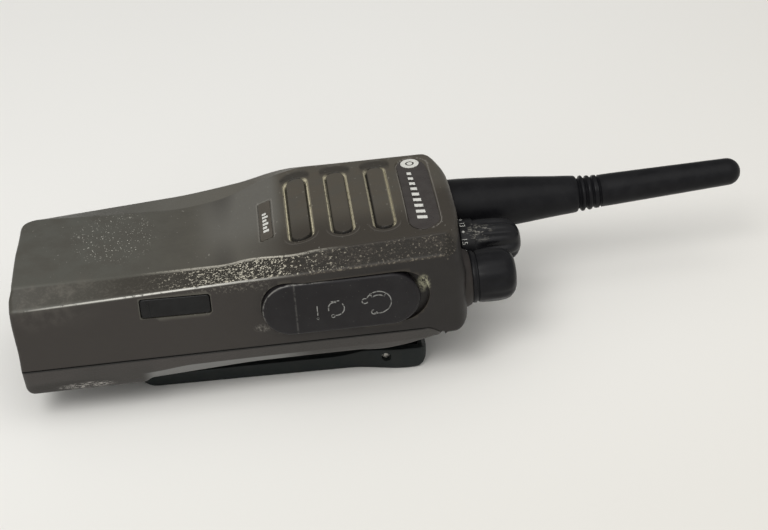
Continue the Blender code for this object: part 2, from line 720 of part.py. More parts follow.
def make_control(kind, y, base, length, radius, skirt, skirt_length, dome):
    axis = empty(f"{kind}_axis", (base, y, KNOB_Z))

    def along_axis(part, start, end, size, segments):
        return cylinder(f"{kind}_{part}", (start, y, KNOB_Z), (end, y, KNOB_Z), size, segments)

    knob = fluted_knob(f"{kind}_knob", base, length, radius, skirt, skirt_length, dome, y)
    ride(knob, axis)
    room = add_cutter(along_axis("nut_room", base - 2, base + 3.2, 5.9, 24))
    bore = add_cutter(along_axis("bore", base, base + length - 3, SHAFT_RADIUS + GAP, 24))
    add_part(boolean(knob, [room, bore]), SATIN, axis, 35)
    shaft = along_axis("shaft", 119, base + length - 3.4, SHAFT_RADIUS, 20)
    ride(shaft, axis)
    add_part(shaft, STEEL, axis)
    body = box(f"{kind}_switch", (113.8, y - 6.6, 13.3), (125.0, y + 6.6, 23.0))
    barrel = add_cutter(along_axis("barrel", 124, base + 2.6, 3.4, 20))
    bearing = add_cutter(along_axis("bearing", 118, 140, 3.15, 20))
    boolean(body, [barrel], "UNION")
    add_part(boolean(body, [bearing]), STEEL, RADIO)


def make_nut(kind, y, base):
    nut = cylinder(f"{kind}_nut", (base - 1.7, y, KNOB_Z), (base + 0.4, y, KNOB_Z), 5.2, 6)
    hole = add_cutter(cylinder(f"{kind}_nut_hole", (base - 4, y, KNOB_Z), (base + 4, y, KNOB_Z), 3.75, 20))
    add_part(boolean(nut, [hole]), BRASS, RADIO)


def antenna_rings():
    """Rings along the antenna, with four grooves at its neck, leaning forward beyond them."""
    length = ANTENNA_END - ANTENNA_START
    plain = [(0, 8.6), (0.6, 8.75), (8, 8.4), (20, 7.6), (30, 6.65), (38.6, 5.95)]
    neck = []
    for k in range(4):
        s = 39.2 + k * 2.5
        neck += [(s, 4.8), (s + 0.9, 4.8), (s + 1.2, 5.7 - 0.2 * k), (s + 2.2, 5.65 - 0.2 * k)]
    tip = [(49.6, 4.9), (70, 4.6), (length - 4.3, 4.25)]
    end = [(length - 4.25 + 4.25 * sin(a), 4.25 * cos(a)) for a in (0.35, 0.7, 1.05, 1.35)]
    rings = []
    for s, radius in plain + neck + tip + end:
        bend = max(s - 44.0, 0.0)
        x = ANTENNA_START + s - bend * (1 - cos(ANTENNA_LEAN))
        centre = Vector((x, ANTENNA_Y, ANTENNA_Z + bend * sin(ANTENNA_LEAN)))
        lean = ANTENNA_LEAN * ease((s - 40.0) / 8.0)
        ring = []
        for k in range(18):
            angle = 2 * pi * k / 18
            up = radius * sin(angle)
            ring.append((centre.x - up * sin(lean), centre.y + radius * cos(angle), centre.z + up * cos(lean)))
        rings.append(ring)
    return rings


def make_antenna():
    sheath = loft("antenna_sheath", antenna_rings())

    def on_axis(x):
        return (x, ANTENNA_Y, ANTENNA_Z)

    bore = add_cutter(cylinder("sheath_bore", on_axis(ANTENNA_START - 3), on_axis(166), 3.9, 20))
    add_part(boolean(sheath, [bore]), RUBBER, RADIO, 35)
    stud = [(0, 20.0), (3.5, 20.0), (3.5, 11.2), (2.9, 10.8), (2.9, 0), (0, 0)]
    add_part(turned("antenna_stud", stud, on_axis(120), (1, 0, 0), 24), BRASS, RADIO)
    bushing = [(5.2, 13.1), (5.2, 0), (3.3, 0), (3.3, 13.1)]
    add_part(turned("antenna_bushing", bushing, on_axis(117), (1, 0, 0), 28), BRASS, RADIO)
    coil = wire("antenna_coil", coil_points(on_axis(140.8), (1, 0, 0), 2.8, 24.0, 6, 8), 0.8)
    add_part(coil, BRASS, RADIO)


def make_deck():
    make_control("channel", CHANNEL_Y, 131.3, 18.5, 7.15, 7.6, 4.2, 1.0)
    make_nut("channel", CHANNEL_Y, 131.8)
    make_control("volume", VOLUME_Y, 132.0, 13.2, 7.65, 7.7, 0.9, 0.6)
    make_nut("volume", VOLUME_Y, 133.7)
    make_antenna()


# ---------------------------------------------------------------- battery and its latch


def make_battery():
    carrier = empty("battery_carrier", (0, 0, 0))
    case = loft("battery_case", [battery_ring(x) for x in battery_stations()])
    hollow = add_cutter(box("battery_hollow", (4.0, -17.0, 1.6), (98.0, 17.0, 12.0)))
    clip_pad = add_cutter(box("clip_pad", (90.0, -14.0, -0.05), (114.0, 14.0, 4.0)))
    boolean(case, [clip_pad], "UNION")
    add_part(boolean(case, [hollow]), BATTERY, carrier, 30)

    cover = box("battery_cover", (CORE_X[0], -CORE_HALF, PARTING_Z + GAP), (CORE_X[1], CORE_HALF, CORE_Z))
    inside = add_cutter(box("cover_inside", (19.2, -17.0, 5.0), (98.0, 17.0, 11.4)))
    tabs = []
    for i, x in enumerate((30.5, 76.5)):
        for side in (-1, 1):
            low, high = sorted((side * 17.8, side * 19.9))
            tabs.append(add_cutter(box(f"tab_{i}_{side}", (x, low, 10.3), (x + 11, high, 11.5))))
    pads = add_cutter(box("pad_recess", (99.5, -7.4, 12.0), (120.0, 7.4, 14.0)))
    boolean(cover, [inside])
    boolean(cover, tabs, "UNION")
    add_part(boolean(cover, [pads]), BATTERY, carrier)

    for i, x in enumerate((19.8, 58.8), 1):
        cell = box(f"battery_cell_{i}", (x, -16.6, 2.0), (x + 38.4, 16.6, 11.0))
        add_part(soften(cell, 1.2, 2), ALLOY, carrier)
    add_part(box("battery_board", (5.0, -15.0, 3.0), (18.0, 15.0, 4.2)), BOARD, carrier)
    make_contacts("battery_pads", 12.55, 12.3, BRASS, carrier)


def make_latch():
    plate = box("battery_latch", (0.2, -8.8, 10.0), (1.0, 8.8, 16.4))
    stem = add_cutter(box("latch_stem", (0.2, -2.9, 11.0), (5.6, 2.9, 14.6)))
    add_part(boolean(plate, [stem], "UNION"), SATIN, RADIO)
    spring = wire("latch_spring", coil_points((4.2, 0, 15.2), (0, 0, 1), 0.95, 4.2, 4, 8), 0.4)
    add_part(spring, STEEL, RADIO)


# ---------------------------------------------------------------- belt clip


def clip_half(x):
    """The clip arm's half width: narrow at its tip, flaring round its hinge to the thumb end."""
    if x < 94:
        return lerp(13.4, 15.5, (x - CLIP_TIP_X) / (94 - CLIP_TIP_X))
    return lerp(15.5, 18.6, ease((x - 94) / 18.0))


def clip_outline(inset):
    stations = [CLIP_TIP_X + 5.5, 60, 80, 94, 98, 102, 106, 110, CLIP_END_X - 3]
    side = [(x, clip_half(x) - inset) for x in stations]
    tip = [(CLIP_TIP_X + inset, 8.5), (CLIP_TIP_X + 1.2 + inset, 11.5)]
    end = [(CLIP_END_X - 0.9 - inset * 0.5, side[-1][1] - 0.9), (CLIP_END_X - inset, side[-1][1] - 3)]
    half = tip + side + end
    return half + [(x, -y) for x, y in reversed(half)]


def make_clip():
    carrier = empty("clip_carrier", (0, 0, 0))
    base = prism("clip_bracket", slab(91, -13.2, 112, 13.2, 2, 3), "Z", -2.4, -0.3)
    ears = []
    for side in (-1, 1):
        low, high = sorted((side * 10.6, side * 13.2))
        profile = [(98, -1), (112, -1), (108.6, -8.4), (107.1, -9.8), (103.9, -9.8), (102.4, -8.4)]
        ears.append(add_cutter(prism(f"ear_{side}", profile, "Y", low, high)))
    boolean(base, ears, "UNION")
    hole = add_cutter(cylinder("bracket_bore", (PIN_X, -20, PIN_Z), (PIN_X, 20, PIN_Z), 1.6, 20))
    add_part(boolean(base, [hole]), CLIP, carrier)
    pin = cylinder("clip_pin", (PIN_X, -16.9, PIN_Z), (PIN_X, 16.9, PIN_Z), 1.25, 20)
    add_part(pin, STEEL, carrier)
    spring = wire("clip_spring", coil_points((PIN_X, -8.0, PIN_Z), (0, 1, 0), 1.95, 16.0, 7, 8), 0.9)
    add_part(spring, STEEL, carrier)

    hinge = empty("clip_hinge", (PIN_X, 0, PIN_Z))
    arm = prism("clip_arm", clip_outline(0), "Z", CLIP_FACE_Z, -4.9)
    channel = add_cutter(prism("clip_channel", clip_outline(2.2), "Z", CLIP_FACE_Z + 1.7, 0))
    edge = [(20, 0), (20, -8.6), (33, -8.2), (38, -7.6), (92, -7.3), (99, -5.6)]
    edge += [(113, -4.9), (130, -4.9), (130, 0)]
    trim = add_cutter(prism("clip_edge", edge, "Y", -30, 30))
    chamfer = [(20, -5), (31.4, -7.6), (33.0, -10.6), (35.2, CLIP_FACE_Z - 0.1)]
    chamfer += [(35.2, -20), (20, -20)]
    nose = add_cutter(prism("clip_nose", chamfer, "Y", -30, 30))
    heel = [(114.4, -12.3), (117.9, -8.8), (125, -8.8), (125, -20), (114.4, -20)]
    thumb = add_cutter(prism("clip_heel", heel, "Y", -30, 30))
    bore = add_cutter(cylinder("arm_bore", (PIN_X, -30, PIN_Z), (PIN_X, 30, PIN_Z), 1.6, 20))
    ride(arm, hinge)
    boolean(arm, [channel, trim, nose, thumb, bore])
    add_part(arm, CLIP, hinge, 30)


# ---------------------------------------------------------------- the radio

clear_scene()
PARTS = new_collection("two_way_radio")
CUTTERS = new_collection("cutters")
RADIO = bpy.data.objects.new("radio_frame", None)
bpy.context.scene.collection.objects.link(RADIO)
RADIO.location = Vector((-ANTENNA_END / 2, 0, -CLIP_FACE_Z)) * MM

PLASTIC = new_material("housing_plastic", (0.072, 0.066, 0.056), 0.55)
BATTERY = new_material("battery_plastic", (0.085, 0.082, 0.076), 0.55)
GLOSS = new_material("gloss_plate", (0.03, 0.03, 0.034), 0.25)
SATIN = new_material("satin_black", (0.022, 0.023, 0.027), 0.4)
RUBBER = new_material("rubber", (0.02, 0.021, 0.025), 0.5)
CLIP = new_material("clip_plastic", (0.02, 0.025, 0.024), 0.45)
CLOTH = new_material("cloth", (0.01, 0.01, 0.01), 0.9)
STEEL = new_material("steel", (0.55, 0.55, 0.56), 0.3, 1.0)
ALLOY = new_material("alloy", (0.62, 0.62, 0.63), 0.45, 1.0)
BRASS = new_material("brass", (0.72, 0.56, 0.28), 0.3, 1.0)
BOARD = new_material("circuit_board", (0.02, 0.13, 0.06), 0.45)
LENS = new_material("lens", (0.75, 0.75, 0.72), 0.2)

make_housing_pieces()
make_sound_pieces()
make_inner_pieces()
make_jack_side()
make_ptt_side()
make_deck()
make_battery()
make_latch()
make_clip()
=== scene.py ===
"""The looks of a handheld two way radio that lies on its belt clip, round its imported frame."""

import json
from math import cos, pi, sin, sqrt

import bmesh
import bpy
import numpy as np
from mathutils import Matrix, Vector

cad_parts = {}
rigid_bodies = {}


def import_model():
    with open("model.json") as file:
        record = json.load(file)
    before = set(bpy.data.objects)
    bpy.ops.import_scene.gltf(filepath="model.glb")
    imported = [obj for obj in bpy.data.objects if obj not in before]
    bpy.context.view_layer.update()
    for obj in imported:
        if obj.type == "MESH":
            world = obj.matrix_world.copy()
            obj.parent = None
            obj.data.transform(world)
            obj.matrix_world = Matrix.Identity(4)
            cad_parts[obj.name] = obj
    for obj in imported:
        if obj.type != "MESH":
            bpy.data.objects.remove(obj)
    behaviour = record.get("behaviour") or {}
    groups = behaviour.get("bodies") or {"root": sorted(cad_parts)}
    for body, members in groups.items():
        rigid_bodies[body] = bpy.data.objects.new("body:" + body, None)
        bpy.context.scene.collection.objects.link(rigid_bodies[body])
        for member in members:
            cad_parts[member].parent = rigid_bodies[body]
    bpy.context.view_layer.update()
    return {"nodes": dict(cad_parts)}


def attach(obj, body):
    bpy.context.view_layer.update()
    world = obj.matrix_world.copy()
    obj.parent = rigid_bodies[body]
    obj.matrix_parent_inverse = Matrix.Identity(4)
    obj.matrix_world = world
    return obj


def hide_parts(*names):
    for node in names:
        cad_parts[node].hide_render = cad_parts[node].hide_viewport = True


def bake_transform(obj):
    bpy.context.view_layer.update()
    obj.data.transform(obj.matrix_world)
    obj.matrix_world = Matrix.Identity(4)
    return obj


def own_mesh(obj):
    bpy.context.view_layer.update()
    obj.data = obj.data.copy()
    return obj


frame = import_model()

# Everything is drawn in the radio's own frame, in millimetres: X towards the antenna, Y towards the
# push-to-talk side, Z towards the front. TO_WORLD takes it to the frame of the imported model.
MM = 0.001
TO_WORLD = np.array((-111.5, 0.0, 12.2))
SMOOTH = 35  # degrees; sharper edges stay sharp
WELD = 0.000002  # metres; closer points become one

DECK_X = 129.6
WAIST_X = 64.8
HEAD_X = 84.5
SIDE_HALF = (24.9, 27.3, 31.3, 30.0)
PANEL_HALF = (18.4, 16.6, 24.6, 23.5)
FRONT_Z = (31.1, 29.8, 36.6, 37.5)
FRONT_FLARE = (59.5, 89.0)
SIDE_Z = (26.6, 30.4, 33.0, 33.5)
PARTING_Z = 8.2
PARTING_HALF = 28.8
LOBE_X = 117.5  # where the lower edge dips to the lobe behind the battery's end
CROWN = 0.5
BATTERY_END_X = 122.4
SLOT_X = (83.9, 96.2, 108.5)
PLATE_X = 118.9
PLATE_SHIFT = 0.7
BADGE_X = 73.9
INSERT_X = 46.15
INSERT_Z = 24.25
COVER_Z = 21.0
JACK_X = (93, 104)
CREASE_X = 80.0
POCKET_X = 94.3
PTT_X = 76.0
BEZEL_X = 77.5
PTT_Z = 20.3
LATCH_Z = 13.2
KNOB_Z = 17.5
COLLAR_X = 127.6
VOLUME_Y = -18.3
ANTENNA_Y = 18.3
ANTENNA_Z = 20.0
ANTENNA_START = 130.4
ANTENNA_END = 223.0
ANTENNA_NECK = 44.0  # how far along its thick base ends and it leans back up
ANTENNA_LEAN = 2.8 * pi / 180
PIN_X = 105.5
PIN_Z = -7.8
CLIP_FACE_Z = -12.2
CLIP_TIP_X = 31.3
CLIP_NECK_X = 94
CLIP_END_X = 117.8

# (x, height) pairs: how far the battery's back edge stands above its back, and the clip's arm
BATTERY_EDGE = (
    (37.0, 0.0), (54.0, 1.2), (66.0, 2.0), (90.0, 2.0), (98.0, 1.9), (104.5, 0.3), (112.0, -0.5),
)
CLIP_TOP = (
    (32.4, -8.9), (34.0, -8.3), (38.0, -7.6), (92.0, -7.3), (96.0, -6.5), (99.0, -5.7),
    (104.0, -5.2), (113.0, -4.9), (116.5, -5.1), (117.8, -6.2),
)
CLIP_BOTTOM = (
    (32.4, -9.6), (32.9, -10.6), (33.8, -11.5), (35.2, -12.05), (36.4, CLIP_FACE_Z),
    (114.0, CLIP_FACE_Z), (115.4, -11.9), (116.8, -10.9), (117.5, -9.6), (117.8, -8.4),
)

# (x, radius, flute depth) from each knob's lower edge to the middle of its top
CHANNEL_SECTIONS = (
    (-0.5, 5.9, 0), (-0.6, 6.2, 0), (-0.6, 7.4, 0), (-0.45, 7.55, 0), (-0.2, 7.6, 0), (3.5, 7.6, 0),
    (3.75, 7.55, 0), (3.9, 7.4, 0), (3.95, 7.2, 0), (4.3, 7.1, 0.0), (5.0, 7.15, 0.1),
    (6.0, 7.2, 0.45), (7.5, 7.2, 0.8), (10.5, 7.1, 0.85), (13.0, 6.85, 0.8), (14.6, 6.4, 0.6),
    (15.8, 5.75, 0.35), (16.8, 4.85, 0.15), (17.5, 3.8, 0.05), (18.0, 2.6, 0), (18.2, 1.2, 0),
)
VOLUME_SECTIONS = (
    (-0.3, 6.2, 0), (-0.3, 7.45, 0), (-0.15, 7.6, 0), (0.3, 7.65, 0), (0.75, 7.65, 0),
    (0.9, 7.55, 0), (1.0, 7.2, 0), (1.4, 7.2, 0), (1.6, 7.5, 0.0), (2.6, 7.7, 0.12),
    (4.5, 7.8, 0.2), (7.5, 7.8, 0.2), (9.6, 7.55, 0.18), (11.0, 7.05, 0.12), (11.9, 6.2, 0.06),
    (12.5, 5.4, 0.02), (12.9, 4.3, 0), (13.0, 2.5, 0),
)


# ---- mesh tools


def lerp(a, b, t):
    return a + (b - a) * t


def ease(t):
    t = np.clip(t, 0.0, 1.0)
    return t * t * (3 - 2 * t)


def quarter_drop(distance, radius):
    """How far a rounded end of this radius has pulled in at this distance from the end."""
    if distance >= radius:
        return 0.0
    return radius - sqrt(max(radius * radius - (radius - distance) ** 2, 0.0))


def table_at(table, x):
    """A value between the entries of a table of (x, value) pairs."""
    return float(np.interp(x, *zip(*table)))


def along(values, x, flare=None):
    """A size that runs straight to the waist, eases up to the head and runs on to the deck."""
    low, waist, head, deck = values
    start, end = flare or (WAIST_X, HEAD_X)
    t = ease((x - start) / (end - start))
    straight = lerp(low, waist, np.minimum(x, start) / start)
    beyond = lerp(head, deck, np.maximum(x - end, 0) / (DECK_X - end))
    return straight * (1 - t) + beyond * t


def panel_z(x, y):
    """Height of the front panel's smooth surface."""
    return along(FRONT_Z, x, FRONT_FLARE) + CROWN * (1 - np.abs(y) / along(PANEL_HALF, x))


def wall_y(x, z):
    """Half width of the side wall at this height, from the parting line to its upper edge."""
    t = (z - PARTING_Z) / (along(SIDE_Z, x) - PARTING_Z)
    return lerp(PARTING_HALF, along(SIDE_HALF, x), t)


def sd_stadium(u, v, half_u, half_v):
    """Signed distance to a stadium, negative inside."""
    radius = min(half_u, half_v)
    du = np.maximum(np.abs(u) - (half_u - radius), 0)
    dv = np.maximum(np.abs(v) - (half_v - radius), 0)
    return np.hypot(du, dv) - radius


def sd_slab(u, v, half_u, half_v, radius):
    """Signed distance to a rectangle with rounded corners, negative inside."""
    qu = np.abs(u) - half_u + radius
    qv = np.abs(v) - half_v + radius
    outside = np.hypot(np.maximum(qu, 0), np.maximum(qv, 0))
    return outside + np.minimum(np.maximum(qu, qv), 0) - radius


def add_object(name, data):
    item = bpy.data.objects.new(name, data)
    bpy.context.scene.collection.objects.link(item)
    return item


def make_object(name, points, faces, smooth=SMOOTH):
    """A mesh from points in the radio's millimetres."""
    mesh = bpy.data.meshes.new(name)
    placed = (np.asarray(points, float) + TO_WORLD) * MM
    mesh.from_pydata(placed.tolist(), [], faces)
    item = add_object(name, mesh)
    shape = bmesh.new()
    shape.from_mesh(mesh)
    bmesh.ops.remove_doubles(shape, verts=shape.verts, dist=WELD)
    bmesh.ops.recalc_face_normals(shape, faces=shape.faces)
    shape.to_mesh(mesh)
    shape.free()
    shade(item, smooth)
    return item


def shade(item, smooth=SMOOTH):
    item.data.shade_smooth()
    item.data.set_sharp_from_angle(angle=smooth * pi / 180)


def skin(rows, cyclic=True, close_start=True, close_end=True):
    """Faces over rows of points, as a list of points and a list of faces."""
    rows = np.asarray(rows, float)
    count, width = rows.shape[:2]
    points = rows.reshape(-1, 3)
    faces = []
    last = width if cyclic else width - 1
    for i in range(count - 1):
        base = i * width
        for j in range(last):
            k = (j + 1) % width
            faces.append((base + j, base + k, base + width + k, base + width + j))
    if close_start:
        faces.append(tuple(range(width))[::-1])
    if close_end:
        faces.append(tuple(range((count - 1) * width, count * width)))
    return points, faces


def loft(name, rows, smooth=SMOOTH):
    return make_object(name, *skin(rows), smooth)


def circle(x, y, z, radius, angle):
    """Points round an axis along X."""
    return np.column_stack((
        np.full(len(angle), x), y + radius * np.cos(angle), z + radius * np.sin(angle),
    ))


def whole_turn(count):
    return np.linspace(0, 2 * pi, count, endpoint=False)


def mirrored_ring(x, half):
    """A ring at x from the near half of its section, which starts and ends in the middle."""
    near = np.column_stack((np.full(len(half), x), -half[:, 0], half[:, 1]))
    far = near * np.array((1, -1, 1))
    return np.concatenate((near, far[-2:0:-1]))


def turned(name, profile, start, direction, steps=64):
    """A turned piece from (height, radius) pairs along an axis."""
    axis = Vector(direction).normalized()
    side = axis.orthogonal().normalized()
    other = axis.cross(side)
    rows = []
    for height, radius in profile:
        row = []
        for k in range(steps):
            angle = 2 * pi * k / steps
            place = Vector(start) + axis * height
            place += side * (radius * cos(angle)) + other * (radius * sin(angle))
            row.append(place[:])
        rows.append(row)
    return loft(name, rows)


def bezier_corner(before, here, after, radius, steps):
    """Points of a rounded corner, as a quadratic curve between its two tangent points."""
    here, before, after = (np.array(p, float) for p in (here, before, after))
    a, b = before - here, after - here
    la, lb = np.linalg.norm(a), np.linalg.norm(b)
    angle = np.arccos(np.clip(a @ b / (la * lb), -1, 1)) / 2
    reach = min(radius / max(np.tan(angle), 1e-6), la * 0.49, lb * 0.49)
    start, end = here + a / la * reach, here + b / lb * reach
    t = np.linspace(0, 1, steps)[:, None]
    return (1 - t) ** 2 * start + 2 * t * (1 - t) * here + t**2 * end


def section(corners, lines, arc_steps):
    """An open polyline with rounded corners; lines gives the points on each straight part.

    An entry of lines is a number of evenly spaced points, or the shares of the part's length.
    """
    pieces = [np.array([corners[0][:2]], float)]
    for i in range(1, len(corners) - 1):
        u, v, radius = corners[i]
        before, after = corners[i - 1][:2], corners[i + 1][:2]
        if radius > 0:
            arc = bezier_corner(before, (u, v), after, radius, arc_steps)
        else:
            arc = np.array([[u, v]], float)
        pieces.append(arc)
    pieces.append(np.array([corners[-1][:2]], float))
    out = [pieces[0]]
    for i, count in enumerate(lines):
        start, end = pieces[i][-1], pieces[i + 1][0]
        t = np.linspace(0, 1, count + 2)[1:-1, None] if isinstance(count, int) else count[:, None]
        out.append(start + (end - start) * t)
        out.append(pieces[i + 1])
    return np.concatenate(out)


def outline_points(half_u, half_v, radius, steps):
    """A rounded rectangle around zero, with the same number of points whatever its radius."""
    radius = max(radius, 0.001)
    points = []
    for start, su, sv in ((0, 1, 1), (1, -1, 1), (2, -1, -1), (3, 1, -1)):
        cu, cv = su * (half_u - radius), sv * (half_v - radius)
        for k in range(steps + 1):
            angle = (start + k / steps) * pi / 2
            points.append((cu + radius * cos(angle), cv + radius * sin(angle)))
    return np.array(points)


def pad(name, half_u, half_v, radius, profile, place, steps=12):
    """A moulded plate: profile is (inset, height) pairs from its back edge over its face.

    place turns (u, v, height) arrays into points in the radio's frame.
    """
    rows = []
    for inset, height in profile:
        ring = outline_points(half_u - inset, half_v - inset, radius - inset, steps)
        rows.append(place(ring[:, 0], ring[:, 1], np.full(len(ring), height)))
    return loft(name, rows)


def round_edge(height, radius, steps=4):
    """Inset and height pairs of a rounded upper edge."""
    pairs = []
    for k in range(steps + 1):
        angle = k / steps * pi / 2
        pairs.append((radius * (1 - cos(angle)), height - radius + radius * sin(angle)))
    return pairs


def box_cutter(low, high):
    spans = list(zip(low, high))
    corners = [(x, y, z) for x in spans[0] for y in spans[1] for z in spans[2]]
    faces = [(0, 1, 3, 2), (4, 6, 7, 5), (0, 4, 5, 1), (2, 3, 7, 6), (0, 2, 6, 4), (1, 5, 7, 3)]
    return cutter(make_object("cutter", corners, faces))


def round_cutter(radius, length, start, direction=(1, 0, 0), steps=32):
    return cutter(turned("cutter", [(0, radius), (length, radius)], start, direction, steps))


def cutter(item):
    for collection in list(item.users_collection):
        collection.objects.unlink(item)
    CUTTERS.objects.link(item)
    return item


def cut(item, operation="DIFFERENCE", smooth=SMOOTH):
    """Takes everything in the cutters' collection away from a piece, or adds it."""
    bpy.context.view_layer.update()
    for used in CUTTERS.objects:
        modifier = item.modifiers.new("cut", "BOOLEAN")
        modifier.operation = operation
        modifier.solver = "EXACT"
        modifier.object = used
    apply_modifiers(item)
    for used in list(CUTTERS.objects):
        bpy.data.objects.remove(used, do_unlink=True)
    shade(item, smooth)


def apply_modifiers(item):
    bpy.context.view_layer.update()
    depsgraph = bpy.context.evaluated_depsgraph_get()
    mesh = bpy.data.meshes.new_from_object(
        item.evaluated_get(depsgraph), preserve_all_data_layers=True, depsgraph=depsgraph
    )
    item.modifiers.clear()
    item.data = mesh


def refined(node, name, width, segments):
    """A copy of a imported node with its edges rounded."""
    mesh = frame["nodes"][node].data.copy()
    item = add_object(name, mesh)
    shape = bmesh.new()
    shape.from_mesh(mesh)
    bmesh.ops.remove_doubles(shape, verts=shape.verts, dist=0.00001)
    bmesh.ops.dissolve_limit(shape, angle_limit=0.02, verts=shape.verts, edges=shape.edges)
    shape.to_mesh(mesh)
    shape.free()
    modifier = item.modifiers.new("edges", "BEVEL")
    modifier.width = width * MM
    modifier.segments = segments
    modifier.limit_method = "ANGLE"
    modifier.angle_limit = 30 * pi / 180
    apply_modifiers(item)
    shade(item)
    return item


def attribute(item, name, values):
    layer = item.data.attributes.new(name, "FLOAT", "POINT")
    layer.data.foreach_set("value", np.asarray(values, np.float32))


def points_of(item):
    """A piece's points in the radio's millimetres."""
    co = np.zeros(len(item.data.vertices) * 3)
    item.data.vertices.foreach_get("co", co)
    return co.reshape(-1, 3) / MM - TO_WORLD


def finish_piece(item, material, body, slot, *nodes):
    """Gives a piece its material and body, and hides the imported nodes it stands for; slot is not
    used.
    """
    item.data.materials.clear()
    item.data.materials.append(material)
    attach(item, body)
    if nodes:
        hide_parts(*nodes)


# ---- shader tools


def plug(tree, socket, value):
    """Links a socket or sets a number, a vector or a colour."""
    if isinstance(value, bpy.types.NodeSocket):
        tree.links.new(value, socket)
    elif socket.type == "RGBA":
        socket.default_value = (*value, 1.0)
    else:
        socket.default_value = value


def add_node(tree, kind, inputs, **settings):
    node = tree.nodes.new("ShaderNode" + kind)
    for key, value in settings.items():
        setattr(node, key, value)
    for key, value in inputs.items():
        plug(tree, node.inputs[key], value)
    return node


class Shader:
    """Builds one node material a step at a time; values are sockets or numbers.

    x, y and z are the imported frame's millimetres, and base is the colour so far.
    """

    def __init__(self, name, roughness=0.5, metallic=0.0, specular=0.5):
        self.material = bpy.data.materials.new(name)
        self.material.use_nodes = True
        self.tree = self.material.node_tree
        self.surface = self.tree.nodes["Principled BSDF"]
        self.set("Roughness", roughness)
        self.set("Metallic", metallic)
        self.set("Specular IOR Level", specular)
        place = self.node("TexCoord", {}).outputs["Object"]
        scaled = self.node("VectorMath", {0: place, "Scale": 1.0 / MM}, operation="SCALE")
        self.place = scaled.outputs[0]
        self.x, self.y, self.z = self.node("SeparateXYZ", {0: self.place}).outputs
        self.base = None

    def node(self, kind, inputs, **settings):
        return add_node(self.tree, kind, inputs, **settings)

    def set(self, name, value):
        plug(self.tree, self.surface.inputs[name], value)

    def math(self, operation, a, b=0.0):
        return self.node("Math", {0: a, 1: b}, operation=operation).outputs[0]

    def times(self, product, *others):
        for other in others:
            product = self.math("MULTIPLY", product, other)
        return product

    def more(self, a, b):
        return self.math("ADD", a, b)

    def most(self, a, b):
        return self.math("MAXIMUM", a, b)

    def step(self, value, low, high, to_low=0.0, to_high=1.0):
        """A smooth step of a value between two limits."""
        inputs = {
            "Value": value, "From Min": low, "From Max": high, "To Min": to_low, "To Max": to_high,
        }
        return self.node("MapRange", inputs, interpolation_type="SMOOTHSTEP").outputs[0]

    def attribute(self, name):
        return self.node("Attribute", {}, attribute_name=name).outputs["Fac"]

    def noise(self, scale, detail=3.0, rough=0.55, stretch=None):
        place = self.place
        if stretch:
            place = self.node("Mapping", {"Vector": place, "Scale": stretch}).outputs[0]
        inputs = {"Vector": place, "Scale": scale, "Detail": detail, "Roughness": rough}
        return self.node("TexNoise", inputs).outputs["Fac"]

    def cells(self, scale, feature="F1", randomness=1.0):
        inputs = {"Vector": self.place, "Scale": scale, "Randomness": randomness}
        return self.node("TexVoronoi", inputs, feature=feature).outputs["Distance"]

    def spot(self, point, stretch, outer, inner):
        """One within inner of a point of the radio's frame, zero beyond outer, axes stretched."""
        place = (np.array(point) + TO_WORLD).tolist()
        offset = self.node("VectorMath", {0: self.place, 1: place}, operation="SUBTRACT")
        scaled = self.node(
            "VectorMath", {0: offset.outputs[0], 1: stretch}, operation="MULTIPLY"
        )
        length = self.node("VectorMath", {0: scaled.outputs[0]}, operation="LENGTH")
        return self.step(length.outputs["Value"], outer, inner)

    def mix(self, factor, a, b):
        return self.node("Mix", {0: factor, 6: a, 7: b}, data_type="RGBA").outputs[2]

    def paint(self, colour, *masks):
        """Lays a colour over the one so far, as strongly as the masks' product."""
        self.base = self.mix(self.times(*masks), self.base, colour)

    def bump(self, height, distance, strength=1.0):
        """Adds relief of this depth in millimetres."""
        node = self.node(
            "Bump", {"Distance": distance * MM, "Strength": strength, "Height": height}
        )
        before = self.surface.inputs["Normal"].links
        if before:
            self.tree.links.new(before[0].from_socket, node.inputs["Normal"])
        self.set("Normal", node.outputs[0])

    def finished(self):
        self.set("Base Color", self.base)
        return self.material


DUST = (0.50, 0.48, 0.42)
CREAM = (0.50, 0.46, 0.33)


